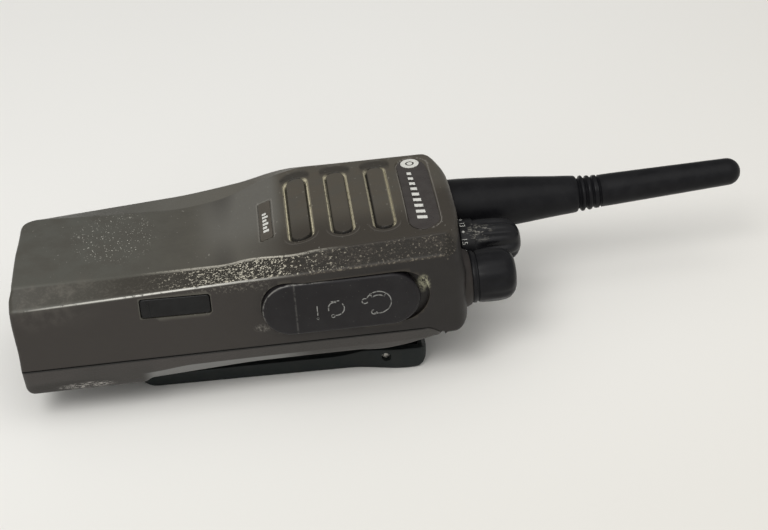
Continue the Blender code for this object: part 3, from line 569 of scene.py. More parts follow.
def housing_material():
    """Worn plastic: a smooth panel with a painted highlight up its ramp, grainy bands, rubbed
    edges, dirt in the slots and painted shade on their floors.
    """
    s = Shader("worn_housing_plastic_with_painted_light", specular=0.32)
    band, side, edge, dirt, dark, line, ridge = (
        s.attribute(name) for name in ("band", "side", "edge", "dirt", "dark", "line", "ridge")
    )
    medium = s.noise(0.16, 4.0, 0.6)
    fine = s.noise(1.6, 4.0, 0.7)
    speck = s.noise(1.35, 2.5, 0.75)
    crumbs = s.noise(0.9, 4.0, 0.7)
    to_head = s.step(s.x, -95.0, -20.0)
    near_side = s.step(s.y, -4.0, -8.0)

    # the smooth panel: a painted highlight up the waist's ramp, darker towards the near side and
    # the deck
    s.base = s.mix(to_head, (0.074, 0.073, 0.062), (0.066, 0.057, 0.043))
    s.paint((0.062, 0.058, 0.048), s.step(medium, 0.35, 0.7), 0.7)
    # painted highlight: the waist's ramp is painted paler where it faces the light
    s.paint(
        (0.108, 0.104, 0.091), s.step(s.x, -62.0, -50.0), s.step(s.x, -31.5, -35.5),
        s.step(s.y, -14.0, 4.0, 0.45, 1.0),
    )
    shade = s.times(s.step(s.x, -48.0, -26.0), s.step(s.y, -3.0, -16.0))
    shade = s.most(shade, s.times(s.step(s.x, 0.0, 12.0), s.step(s.y, 6.0, -4.0)))
    s.paint((0.030, 0.025, 0.019), shade, 0.85)

    # the sides and the grainy bands
    s.paint(s.mix(s.step(s.x, -60.0, 5.0), (0.027, 0.023, 0.020), (0.012, 0.010, 0.009)), side)
    band_low = s.mix(to_head, (0.036, 0.032, 0.025), (0.014, 0.012, 0.009))
    band_high = s.mix(to_head, (0.058, 0.053, 0.043), (0.032, 0.027, 0.021))
    grain = s.step(s.more(s.times(speck, 0.6), s.times(medium, 0.4)), 0.46, 0.58)
    s.paint(s.mix(grain, band_low, band_high), s.math("MINIMUM", s.times(band, 2.0), 0.92))
    # painted highlight: the far band is painted nearly as pale as the panel, to offset the shade of
    # its tilt
    s.paint(
        s.mix(to_head, (0.098, 0.096, 0.084), (0.105, 0.097, 0.08)),
        s.math("MINIMUM", s.times(band, 3.0), 0.95), s.step(near_side, 1.0, 0.0),
    )

    # rubbed grain on the near band, strongest where the waist flares
    worn = s.times(
        s.step(s.x, -86.0, -48.0), s.step(s.x, -6.0, -44.0), s.step(s.y, -14.0, -19.0)
    )
    wear = s.most(worn, s.step(s.x, -90.0, -30.0, 0.05, 0.60))
    level = s.step(wear, 0.0, 1.0, 0.70, 0.552)
    rubbed = s.step(s.math("SUBTRACT", speck, level), 0.0, 0.03)
    below_edge = s.spot((66.0, -27.2, 29.0), (0.06, 1.0, 1.0), 2.6, 1.2)
    below_edge = s.times(below_edge, side, worn, 0.12)
    s.paint(
        s.mix(worn, (0.14, 0.125, 0.098), (0.55, 0.52, 0.425)),
        rubbed, s.step(wear, 0.0, 0.25), near_side,
        s.most(s.math("MINIMUM", s.times(band, 3.0), 1.0), below_edge), 0.9,
    )

    # dusty scuffs over the bottom end's band, the rubbed side edge and the ridge by the panel
    scuff = s.spot((9.0, -21.5, 29.0), (0.6, 1.2, 1.0), 14.0, 2.0)
    s.paint((0.30, 0.28, 0.24), scuff, s.step(medium, 0.42, 0.7), 0.13)
    s.paint(
        (0.62, 0.61, 0.56), edge, s.step(s.x, -60.0, -26.0, 1.0, 0.0),
        s.step(s.x, -110.0, -107.0), s.step(s.noise(0.55, 4.0, 0.7), 0.30, 0.46), 0.95,
    )
    s.paint((0.24, 0.21, 0.16), edge, s.step(s.x, -36.0, -22.0), s.step(speck, 0.52, 0.58), 0.6)
    s.paint((0.66, 0.63, 0.54), ridge, s.step(worn, 0.1, 0.7), s.step(fine, 0.36, 0.48))
    s.paint((0.014, 0.012, 0.009), ridge, s.step(s.x, -40.0, -28.0), 0.6)

    # small white flecks on the panel
    zone = s.spot((29.0, 4.0, 31.0), (0.9, 0.75, 0.1), 13.0, 7.0)
    flecks = s.times(s.math("GREATER_THAN", s.noise(1.7, 1.0, 0.4), 0.70), zone)
    stray = s.times(s.math("GREATER_THAN", s.noise(1.1, 1.0, 0.4), 0.765), 0.35)
    s.paint(
        (0.55, 0.54, 0.48), s.most(flecks, stray),
        s.step(band, 0.4, 0.0), s.step(side, 0.4, 0.0), 0.75,
    )

    # dirt round the dust cover and in the slots, painted shade on the slots' floors and the far
    # walls of their dips, and light lines round the recesses and the slots
    scoop = s.spot((116.9, -30.5, 24.0), (1.0, 0.4, 0.5), 2.3, 1.0)
    s.paint((0.34, 0.33, 0.23), scoop, s.step(crumbs, 0.40, 0.55), 0.75)
    smudge = s.spot((70.0, -29.5, 14.6), (0.7, 0.5, 1.2), 2.2, 0.6)
    s.paint(DUST, smudge, s.step(fine, 0.42, 0.6), 0.2)
    # painted shade on the slots' floors and on the far walls of their dips
    s.paint((0.010, 0.009, 0.008), dark)
    caked = s.times(dirt, s.step(s.noise(0.9, 4.0, 0.65), 0.30, 0.48))
    s.paint(CREAM, caked)
    s.paint((0.32, 0.30, 0.27), line, 0.6)

    # the dark line above the battery
    fade = s.step(s.x, -108.0, -80.0, 0.25, 0.85)
    s.paint((0.006, 0.006, 0.005), s.step(s.z, 21.15, 20.85), s.step(s.x, 6.5, 5.5), fade)

    rough = s.most(s.step(medium, 0.3, 0.7, 0.42, 0.55), s.times(s.most(caked, dark), 0.9))
    s.set("Roughness", s.most(rough, s.times(band, 0.66)))
    s.bump(speck, 0.35, s.times(band, s.step(s.x, -90.0, -50.0, 0.3, 1.0)))
    s.bump(fine, 0.05, 0.35)
    return s.finished()


def moulded_material(name, low, high, roughness, relief, dusty=0.0, specular=0.2):
    """Moulded plastic or rubber with slight mottling, fine relief and a little dust."""
    s = Shader(name, specular=specular)
    mottle = s.noise(0.22, 4.0, 0.6)
    s.base = s.mix(s.step(mottle, 0.35, 0.68), low, high)
    if dusty:
        fluff = s.step(s.noise(1.5, 3.0, 0.7, (0.4, 1.0, 1.4)), 0.53, 0.60)
        patch = s.spot((137.0, -4.5, 25.5), (0.8, 1.0, 1.0), 5.0, 2.0)
        s.paint(DUST, fluff, patch, dusty)
    s.set("Roughness", s.step(mottle, 0.3, 0.7, roughness - 0.06, roughness + 0.07))
    s.bump(s.noise(3.0, 3.0, 0.6), relief, 0.6)
    return s.finished()


def battery_material():
    """Moulded plastic: scraped at the bottom end, with a painted reflection of the floor along its
    near lower edge.
    """
    s = Shader("battery_plastic_worn_with_painted_light", specular=0.32)
    fine = s.noise(1.8, 4.0, 0.7)
    broad = s.step(s.noise(0.05, 3.0), 0.35, 0.65)
    s.base = s.mix(broad, (0.043, 0.038, 0.035), (0.036, 0.033, 0.030))
    # painted reflection: a pale strip along the near lower edge, where the rounded edge mirrors the
    # floor
    reflection_top = s.more(s.z, s.step(s.x, -76.0, -62.0, 1.3, 0.0))
    s.paint(
        (0.155, 0.155, 0.15), s.step(reflection_top, 16.5, 16.2), s.step(s.x, -26.0, -40.0, 0.12, 1.0),
        s.step(s.x, -78.0, -73.5), s.step(s.y, -20.0, -25.0), 0.95,
    )
    # painted shade on the chamfer at the bottom end's lower near corner
    hollow = s.spot((11.0, -27.5, 1.2), (0.14, 0.6, 1.0), 2.6, 1.2)
    s.paint((0.020, 0.018, 0.016), hollow, 0.6)
    scraped = s.spot((17.5, -27.5, 0.7), (0.30, 1.0, 1.9), 3.0, 1.4)
    broken = s.noise(0.9, 4.0, 0.75, (1.0, 3.0, 4.0))
    s.paint((0.42, 0.40, 0.37), scraped, s.step(broken, 0.50, 0.58), 0.7)
    s.paint((0.006, 0.006, 0.005), s.step(s.z, 19.9, 20.15), s.step(s.x, 6.0, 4.5), 0.85)
    s.set("Roughness", s.step(fine, 0.3, 0.7, 0.46, 0.6))
    s.bump(s.cells(1.7), 0.08, 0.45)
    s.bump(fine, 0.05, 0.4)
    return s.finished()


def cover_material():
    """Moulded rubber with a painted highlight on its upper rim and a faint light worn line at its
    crease.
    """
    s = Shader("dust_cover_rubber", specular=0.24)
    mottle = s.noise(0.2, 4.0, 0.6)
    s.base = s.mix(s.step(mottle, 0.35, 0.68), (0.007, 0.006, 0.007), (0.010, 0.009, 0.010))
    broken = s.step(s.noise(0.8, 3.0), 0.35, 0.55)
    s.paint((0.42, 0.41, 0.38), s.attribute("rim"), broken, 0.42)
    s.paint((0.40, 0.39, 0.36), s.attribute("crease"), broken, 0.12)
    s.paint(DUST, s.math("GREATER_THAN", s.noise(2.2, 1.5, 0.5), 0.75), 0.12)
    s.set("Roughness", s.step(mottle, 0.3, 0.7, 0.34, 0.44))
    s.bump(s.noise(2.6, 3.0, 0.6), 0.02, 0.5)
    return s.finished()


def metal_material(name, colour, roughness, brushed=(1.0, 1.0, 1.0)):
    s = Shader(name, metallic=1.0)
    streak = s.noise(1.1, 4.0, 0.6, brushed)
    s.base = s.mix(s.step(streak, 0.3, 0.7), tuple(c * 0.82 for c in colour), colour)
    s.set("Roughness", s.step(streak, 0.3, 0.7, roughness - 0.05, roughness + 0.10))
    s.bump(streak, 0.01, 0.4)
    return s.finished()


def board_material():
    """Circuit board: solder mask with tracks and small gold pads."""
    s = Shader("solder_mask")
    tracks = s.step(s.cells(0.55, "DISTANCE_TO_EDGE", 0.6), 0.05, 0.09)
    s.base = s.mix(tracks, (0.03, 0.20, 0.09), (0.016, 0.11, 0.05))
    s.paint((0.62, 0.48, 0.20), s.math("LESS_THAN", s.cells(0.7, "F1", 0.8), 0.16))
    s.set("Roughness", s.step(s.noise(0.5), 0.3, 0.7, 0.30, 0.45))
    s.bump(tracks, 0.03, 0.5)
    return s.finished()


def cloth_material():
    s = Shader("acoustic_cloth", 0.9)
    threads = [s.math("SINE", s.times(across, 12.0)) for across in (s.x, s.y)]
    weave = s.times(*threads)
    s.base = s.mix(s.step(weave, -0.6, 0.6), (0.006, 0.006, 0.006), (0.018, 0.018, 0.018))
    s.bump(weave, 0.05, 0.6)
    return s.finished()


def print_material(name, colour, worn):
    """Printed or rubbed light marks, with a little missing."""
    s = Shader(name)
    patch = s.step(s.noise(1.2, 4.0, 0.7), 0.5 - worn, 0.56 - worn)
    s.base = s.mix(patch, tuple(c * 0.25 for c in colour), colour)
    s.bump(s.noise(3.0), 0.01, 0.4)
    return s.finished()


def lens_material():
    s = Shader("light_lens_clear", 0.2)
    s.base = s.mix(s.step(s.noise(0.8), 0.3, 0.7), (0.62, 0.62, 0.58), (0.75, 0.75, 0.72))
    s.set("Transmission Weight", 0.4)
    s.bump(s.noise(2.0), 0.01, 0.3)
    return s.finished()


# ---- housing

FAR_FLARE = (44.0, 77.0)  # the push-to-talk side flares nearer the bottom end, and more gently
FAR_SIDE_HALF = (25.4, 27.0, 31.0, 29.0)
FAR_PANEL_HALF = (18.9, 16.3, 24.3, 22.6)


def lower_edge(x):
    """Height of the housing's lower edge: level, dipping to a lobe behind the battery's end."""
    level = PARTING_Z + 0.3
    if x <= LOBE_X:
        return level
    if x <= BATTERY_END_X:
        return lerp(level, 6.5, ease((x - LOBE_X) / (BATTERY_END_X - LOBE_X)))
    rise = 0.3 * (x - BATTERY_END_X) / (DECK_X - BATTERY_END_X)
    return 5.6 + rise + quarter_drop(DECK_X - x, 4.6)


def deck_arch(x, y, z):
    """How far the deck end curves back towards its corners."""
    near = 2.4 * (np.maximum(-y - 8.0, 0.0) / 16.0) ** 2
    far = 0.78 * np.logaddexp(0.0, (y - 13.0) / 2.5)
    lobe = 0.6 * ease((18.0 - z) / 7.0) * ease(-y / 10.0)
    return (near + far - lobe) * ease((z - 24.0) / 12.0) * ease((x - 108.0) / (DECK_X - 108.0))


def end_bulge(x, y, z):
    """How far the bottom end stands out along its near side, and back along its far side."""
    near = 0.8 * ease((-y - 17.5) / 4.0) * ease((z - 11.0) / 13.0)
    return (near - 0.4 * ease((y + 5.0) / 15.0)) * ease((12.0 - x) / 12.0)


def half_widths(x, sign):
    """Half width of the body at the side's upper edge, and of the front panel."""
    if sign > 0:
        return along(FAR_SIDE_HALF, x, FAR_FLARE), along(FAR_PANEL_HALF, x, FAR_FLARE)
    return along(SIDE_HALF, x), along(PANEL_HALF, x)


# points across half of the front, closest together where the slots end
FRONT_SHARES = np.concatenate((
    np.linspace(0.02, 0.13, 5), np.arange(0.14, 0.38, 0.0085), np.linspace(0.39, 0.985, 26),
))


def housing_half(x, sign):
    """One half of the housing's section, from the middle of the back to the middle of the front."""
    ends = quarter_drop(x, 6.0 if sign > 0 else 1.6) + quarter_drop(DECK_X - x, 4.0)
    top = quarter_drop(x, 1.2) + quarter_drop(DECK_X - x, 3.0)
    side, panel = (half - ends for half in half_widths(x, sign))
    front = along(FRONT_Z, x, FRONT_FLARE) - top
    edge = along(SIDE_Z, x) - top
    parting = PARTING_HALF - quarter_drop(x, 1.2) - quarter_drop(DECK_X - x, 4.0)
    low = lower_edge(x)
    low_round = lerp(0.25, 1.6, ease((x - BATTERY_END_X) / 1.0))
    corners = [
        (0, low, 0), (parting, low, low_round), (side, edge, 1.3), (panel, front, 2.4),
        (0, front + CROWN, 0),
    ]
    points = section(corners, (3, 13, 13, FRONT_SHARES), 8)
    return np.column_stack((np.full(len(points), x), points[:, 0] * sign, points[:, 1]))


def slot_distances(x, y):
    """Distances to the nearest slot's island, to its outer wall, and to the soft dip around it."""
    island, wall, dip = (np.full(x.shape, 99.0) for _ in range(3))
    for centre, island_half, wall_half in zip(SLOT_X, (2.68, 2.6, 2.5), (3.93, 3.72, 3.5)):
        # the slots narrow towards the antenna, and keep their left walls in line
        u = x - centre
        inner = sd_stadium(u + 2.72 - island_half, y - 0.6, island_half, 17.3)
        outer = sd_stadium(u + 3.95 - wall_half, y - 0.4, wall_half, 18.5)
        island, wall = np.minimum(island, inner), np.minimum(wall, outer)
        dip = np.minimum(dip, sd_slab(u, y - 1.5, 4.9, 22.0, 4.3))
    return island, wall, dip


def plate_distances(x, y):
    """Distances to the edges of the recesses of the name plate and of the badge."""
    plate = sd_stadium(x - PLATE_X - PLATE_SHIFT, y, 4.8, 21.0)
    return plate, sd_slab(x - BADGE_X, y, 2.2, 11.0, 0.6)


def front_depth(x, y):
    """How far the moulded details of the front lie below its smooth surface."""
    island, wall, dip = slot_distances(x, y)
    far = ease((y - 17.5) / 3.0)
    depth = (0.20 + 0.42 * far) * ease(-dip / 0.8)
    beside = ease(island / 0.35)
    depth = lerp(depth, np.maximum(depth, 0.85), ease(-wall / 0.3) * beside)
    depth = depth + 0.95 * ease((-wall - 0.55) / 0.35) * beside
    depth = depth - 0.10 * ease(-island / 0.5)
    plate, badge = plate_distances(x, y)
    return depth + (0.55 * ease(-plate / 0.22) + 0.45 * ease(-badge / 0.2))


def housing_rings():
    """The shell's rings from the bottom end to the deck, with both ends closed in."""
    start = [0.0, 0.12, 0.35, 0.7, 1.1, 1.6, 2.2]
    body = list(np.arange(3.4, 62.0, 1.4))
    head = list(np.arange(62.0, 125.6, 0.25))
    deck = [125.6, 126.2, 126.8, 127.3, 127.8, 128.2, 128.6, 128.95, 129.2, 129.4, 129.53, DECK_X]
    rows = []
    for x in np.array(start + body + head + deck):
        near, far = housing_half(x, -1), housing_half(x, 1)
        ring = np.concatenate((near, far[-2:0:-1]))
        on_front = ease((ring[:, 2] - 29.0) / 0.5)
        ring[:, 2] -= front_depth(ring[:, 0], ring[:, 1]) * on_front
        drop = deck_arch(x, ring[:, 1], ring[:, 2]) + end_bulge(x, ring[:, 1], ring[:, 2])
        ring[:, 0] -= drop
        rows.append(ring)

    # the deck's face closes in rings that keep its curve, the bottom end's in flat ones
    middle = np.array((0.0, 21.0))
    rim = rows[-1]
    flat = rim[:, 0] + deck_arch(DECK_X, rim[:, 1], rim[:, 2])
    for share in (0.97, 0.9, 0.75, 0.55, 0.3, 0.08):
        yz = middle + (rim[:, 1:] - middle) * share
        x = flat - deck_arch(DECK_X, yz[:, 0], yz[:, 1])
        rows.append(np.column_stack((x, yz)))
    middle = np.array((0.0, 20.0))
    first = rows[0]
    for share in (0.97, 0.8, 0.4):
        yz = middle + (first[:, 1:] - middle) * share
        rows.insert(0, np.column_stack((first[:, 0], yz)))
    return rows


def mask_housing(item):
    """Masks for the housing's material, read back from its finished points."""
    x, y, z = points_of(item).T
    near = y < 0
    side_half, panel_half = (
        np.where(near, a, b) for a, b in zip(half_widths(x, -1), half_widths(x, 1))
    )
    side_z, front_z = along(SIDE_Z, x), along(FRONT_Z, x, FRONT_FLARE)
    across = (side_half - np.abs(y)) / np.maximum(side_half - panel_half, 1.0)
    above = z > side_z - 0.9
    band = ease((across - 0.03) / 0.10) * ease((0.93 - across) / 0.07) * above
    strong = ease((x - 20.0) / 45.0)
    attribute(item, "band", band * (0.35 + 0.65 * strong) * np.where(near, 1.0, 0.45))
    attribute(item, "ridge", ease(1 - np.abs(across - 0.97) / 0.06) * near * above)
    attribute(item, "side", np.clip(1 - ease((z - side_z + 0.9) / 1.2), 0, 1))
    corner = np.hypot(np.abs(y) - side_half + 0.25, (z - side_z + 0.25))
    attribute(item, "edge", ease(1 - (corner - 0.06) / 0.30) * near)

    island, wall, dip = slot_distances(x, y)
    on_front = z > front_z - 3.5
    long_wall = ease((18.5 - np.abs(y)) / 2.0)
    first_slot = np.where(np.abs(x - SLOT_X[0]) < 6, 1.0, 0.8)
    ring = ease(1 - (np.abs(wall + 0.42) - 0.22) / 0.24)
    near_end = ease((-15.0 - y) / 2.0) * 0.7
    dirt = ring * np.maximum(long_wall, near_end) * first_slot * on_front
    attribute(item, "dirt", dirt)
    # painted shade: the dark mask covers the slots' floors and the far walls of their dips
    floor = ease(-wall / 0.2) * ease((island + 0.06) / 0.12) * on_front
    scoop = 0.55 * ease(-dip / 0.7) * ease((y - 15.5) / 4.0) * ease((wall + 0.1) / 0.1)
    attribute(item, "dark", np.maximum(floor * 0.95 * (1 - dirt), scoop * on_front))

    plate, badge = plate_distances(x, y)
    lines = ease(1 - np.abs(plate - 0.05) / 0.22) * 0.75
    badge_ends = np.abs(np.abs(x - BADGE_X) - 2.2) < 0.5
    lines = np.maximum(lines, ease(1 - np.abs(badge - 0.05) / 0.20) * badge_ends)
    outer = ease(1 - np.abs(wall - 1.15) / 0.22) * ease((-14.0 - y) / 3.0) * 0.35
    attribute(item, "line", np.maximum(lines, outer) * on_front)


def hollow_housing(item):
    """Cuts the inner room, the recesses and the holes."""
    rings = []
    for station in (2.4, 40.0, WAIST_X, 71.0, 76.0, HEAD_X, 110.0, 120.8, 121.4, 125.4):
        floor_z = 4.0 if station < 121.0 else 8.6
        half = float(along((22.3, 24.2, 26.2, 26.2), station))
        top = float(along(FRONT_Z, station, FRONT_FLARE)) - 2.2
        shoulder = min(float(along(SIDE_Z, station)) - 1.6, top - 0.4)
        flat_half = min(float(along(PANEL_HALF, station)) - 1.2, half - 1.0)
        pairs = [(half, floor_z), (half, shoulder), (flat_half, top)]
        pairs += [(-u, v) for u, v in pairs[::-1]]
        rings.append([(station, u, v) for u, v in pairs])
    cutter(loft("cutter", rings))
    box_cutter((-2, -9.3, 9.6), (1.3, 9.3, 20.2))
    box_cutter((-2, -3.3, 10.6), (4, 3.3, 18.4))
    holes = (
        (0, KNOB_Z, 3.7), (VOLUME_Y, KNOB_Z, 3.7), (ANTENNA_Y, ANTENNA_Z, 5.5), (9.4, 28.6, 1.8),
    )
    for y, z, radius in holes:
        round_cutter(radius, 15, (120, y, z))
    for x, z, half_x, half_z, radius, low, high, steps in (
        (POCKET_X, COVER_Z, 24.2, 8.9, 8.9, -36, -27.9, 16),
        (INSERT_X, INSERT_Z, 10.15, 3.15, 0.9, -34, -25.6, 6),
        (BEZEL_X, PTT_Z, 27.8, 7.4, 7.4, 22.4, 38, 16),
    ):
        outline = outline_points(half_x, half_z, radius, steps)
        rings = [
            np.column_stack((x + outline[:, 0], np.full(len(outline), y), z + outline[:, 1]))
            for y in (low, high)
        ]
        cutter(loft("cutter", rings))
    for x, radius in zip(JACK_X, (2.5, 3.0)):
        round_cutter(radius, 6, (x, -30, COVER_Z), (0, 1, 0), 24)
    cut(item)


def make_housing():
    item = loft("front_housing_shell", housing_rings())
    mask_housing(item)
    hollow_housing(item)
    finish_piece(item, HOUSING, "radio", "housing_plastic", "front_housing")


def front_patch(u, v, h):
    """A plate's points on the front panel: u along X, v along Y, h above the smooth surface."""
    return np.column_stack((u, v, panel_z(u, v) + h))


def make_front_details():
    profile = [(0, -0.9)] + round_edge(-0.10, 0.18, 3) + [(1.5, -0.06), (3.4, -0.04), (3.7, -0.04)]
    plate = pad(
        "name_plate_blank", 4.55, 20.7, 4.5, profile,
        lambda u, v, h: front_patch(u + PLATE_X + PLATE_SHIFT, v, h),
    )
    finish_piece(plate, PLATE, "radio", "gloss_plate", "name_plate")

    profile = [(0, -0.9)] + round_edge(0.02, 0.15, 3) + [(0.9, 0.03), (1.6, 0.03)]
    badge = pad(
        "badge_blank", 1.8, 10.6, 0.5, profile, lambda u, v, h: front_patch(u + BADGE_X, v, h), 6
    )
    finish_piece(badge, BADGE, "radio", "gloss_plate", "model_badge")

    # generic marks: a dot in a ring with a row of rising bars, and a row of short bars
    marks = []
    for inner, outer in ((0.0, 0.85), (1.35, 2.8)):
        marks.append(flat_ring(PLATE_X + 0.3, 17.5, inner, outer))
    for k in range(9):
        height = 1.3 + 0.2 * k
        y = 12.0 - 3.2 * k
        low = PLATE_X - 1.3
        high, slant = low + height, 0.18 * height
        bar = ((low, y), (low, y - 1.5), (high, y - 1.5 - slant), (high, y - slant))
        marks.append([np.array(bar)])
    for k in range(6):
        y = 3.6 - 1.9 * k
        low, high = BADGE_X - 0.85, BADGE_X + (0.85 if k % 2 else 0.35)
        marks.append([np.array([(low, y), (low, y - 1.1), (high, y - 1.1), (high, y)])])

    def on_plates(p):
        return front_patch(p[:, 0], p[:, 1], np.where(p[:, 0] > 90, 0.0, 0.03))

    item = flat_marks("plate_mark", marks, on_plates, (0, 0, 0.05))
    finish_piece(item, PRINT, "radio", "gloss_plate")


def flat_ring(x, y, inner, outer, steps=28):
    """Quads of a flat ring, as a list of outlines."""
    angles = np.radians(np.linspace(0, 360, steps + 1))
    quads = []
    for a, b in zip(angles, angles[1:]):
        corners = ((outer, a), (outer, b), (inner, b), (inner, a))
        quads.append(np.array([(x + r * cos(t), y + r * sin(t)) for r, t in corners]))
    return quads


def flat_marks(name, marks, place, lift):
    """Thin raised marks: each outline becomes a small closed plate on the surface place gives."""
    points, faces = [], []
    for outline in (outline for outlines in marks for outline in outlines):
        base = len(points)
        count = len(outline)
        low = place(outline) - np.array(lift)
        high = place(outline) + np.array(lift)
        points += low.tolist() + high.tolist()
        faces.append(tuple(base + k for k in range(count))[::-1])
        faces.append(tuple(base + count + k for k in range(count)))
        for k in range(count):
            j = (k + 1) % count
            faces.append((base + k, base + j, base + count + j, base + count + k))
    return make_object(name, points, faces)


# ---- jack side


def near_wall(x, z, h):
    """Points standing h off the near side wall."""
    return np.column_stack((x, -(wall_y(x, z) + h), z))


def make_side_insert():
    profile = [(0, -1.2)] + round_edge(0.12, 0.35, 4) + [(1.4, 0.10), (2.6, 0.10)]
    item = pad(
        "side_insert_cap", 9.85, 2.85, 0.8, profile,
        lambda u, v, h: near_wall(u + INSERT_X, v + INSERT_Z, h), 8,
    )
    finish_piece(item, INSERT, "radio", "satin_black", "side_insert")
    tab = pad(
        "side_insert_tab", 0.22, 2.5, 0.2, [(0, 0.0)] + round_edge(0.22, 0.1, 2) + [(0.19, 0.22)],
        lambda u, v, h: near_wall(u + 38.6, v + INSERT_Z, h), 3,
    )
    finish_piece(tab, INSERT, "radio", "satin_black")


COVER_MIDDLE = 93.1
COVER_LENGTH = 22.7
COVER_RADIUS = 8.6
COVER_FACE = 31.4


def cover_distance(x, z):
    """Distance inwards from the dust cover's edge."""
    return -sd_stadium(x - COVER_MIDDLE, z - COVER_Z, COVER_LENGTH, COVER_RADIUS)


def cover_rings():
    """The dust cover's rings along X, thin at the crease where it bends."""
    low, high = COVER_MIDDLE - COVER_LENGTH, COVER_MIDDLE + COVER_LENGTH
    cap = 1 - np.cos(np.linspace(0, pi / 2, 15))
    left = low + COVER_RADIUS * cap
    right = high - COVER_RADIUS * cap[::-1]
    crease = np.concatenate((np.arange(CREASE_X - 1.5, CREASE_X + 1.51, 0.12), [CREASE_X]))
    middle = np.arange(CREASE_X + 2.0, right[0], 0.8)
    stations = np.unique(np.round(np.concatenate((left, crease, middle, right)), 4))
    spread = np.sin(np.linspace(-pi / 2, pi / 2, 41))
    rim = 1.1
    rows = []
    for x in stations[1:-1]:
        reach = max(low + COVER_RADIUS - x, x - high + COVER_RADIUS, 0.0)
        half = sqrt(max(COVER_RADIUS**2 - reach**2, 1e-6))
        z = COVER_Z + half * spread
        across = np.full(z.shape, x)
        inside = np.maximum(cover_distance(across, z), 0)
        drop = rim - np.sqrt(np.maximum(rim**2 - (rim - np.minimum(inside, rim)) ** 2, 0))
        face = COVER_FACE - drop - 0.25 * (1 - ease(inside / 6.0))
        face = face - 0.16 * ease(1 - abs(x - CREASE_X) / 0.3) * ease(inside / 1.5)
        thin = ease(1 - (abs(x - CREASE_X) - 0.5) / 0.6)
        back = np.minimum(np.full(z.shape, lerp(28.2, 30.2, thin)), face - 0.15)
        front_row = np.column_stack((across, -face, z))
        back_row = np.column_stack((across, -back, z))
        rows.append(np.concatenate((front_row, back_row[::-1])))
    return rows


def make_dust_cover():
    item = loft("dust_cover", cover_rings(), 40)
    x, y, z = points_of(item).T
    # painted highlight: the rim mask runs along the cover's upper left edge, where it faces the
    # light
    rim = ease(1 - np.abs(cover_distance(x, z) - 0.22) / 0.2) * (y < -29.5)
    up_left = ease((z - x * 0.35 + 12.0) / 8.0) * ease((92.0 - x) / 8.0)
    attribute(item, "rim", rim * up_left)
    attribute(item, "crease", ease(1 - np.abs(x - CREASE_X) / 0.4) * (y < -29.5))
    item.data.materials.append(COVER)
    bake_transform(item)
    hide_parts("dust_cover_anchor", "dust_cover_flap")

    for name, x_plug, radius in zip(("small_plug", "large_plug"), JACK_X, (1.1, 1.55)):
        profile = [(0, radius), (2.2, radius), (2.6, radius * 0.85), (2.75, radius * 0.5)]
        plug_end = turned(name, profile, (x_plug, -28.4, COVER_Z), (0, 1, 0), 24)
        finish_piece(plug_end, COVER, "dust_flap", "rubber")
    make_icons()


def stroke(points, width=0.30):
    """Quads along a line, as a list of outlines."""
    points = np.asarray(points, float)
    ahead = np.gradient(points, axis=0)
    ahead /= np.linalg.norm(ahead, axis=1)[:, None]
    across = np.column_stack((-ahead[:, 1], ahead[:, 0])) * width / 2
    left, right = points + across, points - across
    return [
        np.array([left[k], right[k], right[k + 1], left[k + 1]]) for k in range(len(points) - 1)
    ]


def arc(x, z, radius, start, end, steps=24):
    angles = np.radians(np.linspace(start, end, steps + 1))
    return np.column_stack((x + radius * np.cos(angles), z + radius * np.sin(angles)))


def make_icons():
    """Moulded outlines on the dust cover: a headset, a microphone lead and a short mark."""
    thin = 0.24
    marks = [
        stroke(arc(103.5, 21.0, 3.7, -112, 150)),
        stroke(arc(103.5, 21.0, 2.5, 55, 125)),
        stroke([(101.8, 22.9), (101.2, 24.2)]),
        stroke([(105.2, 22.9), (105.9, 24.0)]),
        stroke(arc(99.7, 21.9, 0.85, 60, 330, 14)),
        stroke(arc(102.1, 17.9, 0.75, 90, 360, 14)),
        stroke(arc(91.4, 20.4, 2.3, -110, 40)),
        stroke(arc(90.9, 20.9, 1.7, 70, 180, 12)),
        stroke([(90.0, 22.9), (92.4, 23.0)]),
        stroke([(89.2, 19.9), (89.2, 21.2)]),
        stroke(arc(90.4, 18.0, 0.5, 0, 350, 12), thin),
        stroke([(86.0, 18.6), (86.0, 21.9)]),
        stroke(arc(86.0, 17.7, 0.3, 0, 350, 10), thin),
    ]

    def on_cover(points):
        return np.column_stack((points[:, 0], np.full(len(points), -COVER_FACE), points[:, 1]))

    item = flat_marks("dust_cover_icons", marks, on_cover, (0, 0.09, 0))
    finish_piece(item, ICON, "dust_flap", "rubber")


# ---- push-to-talk side


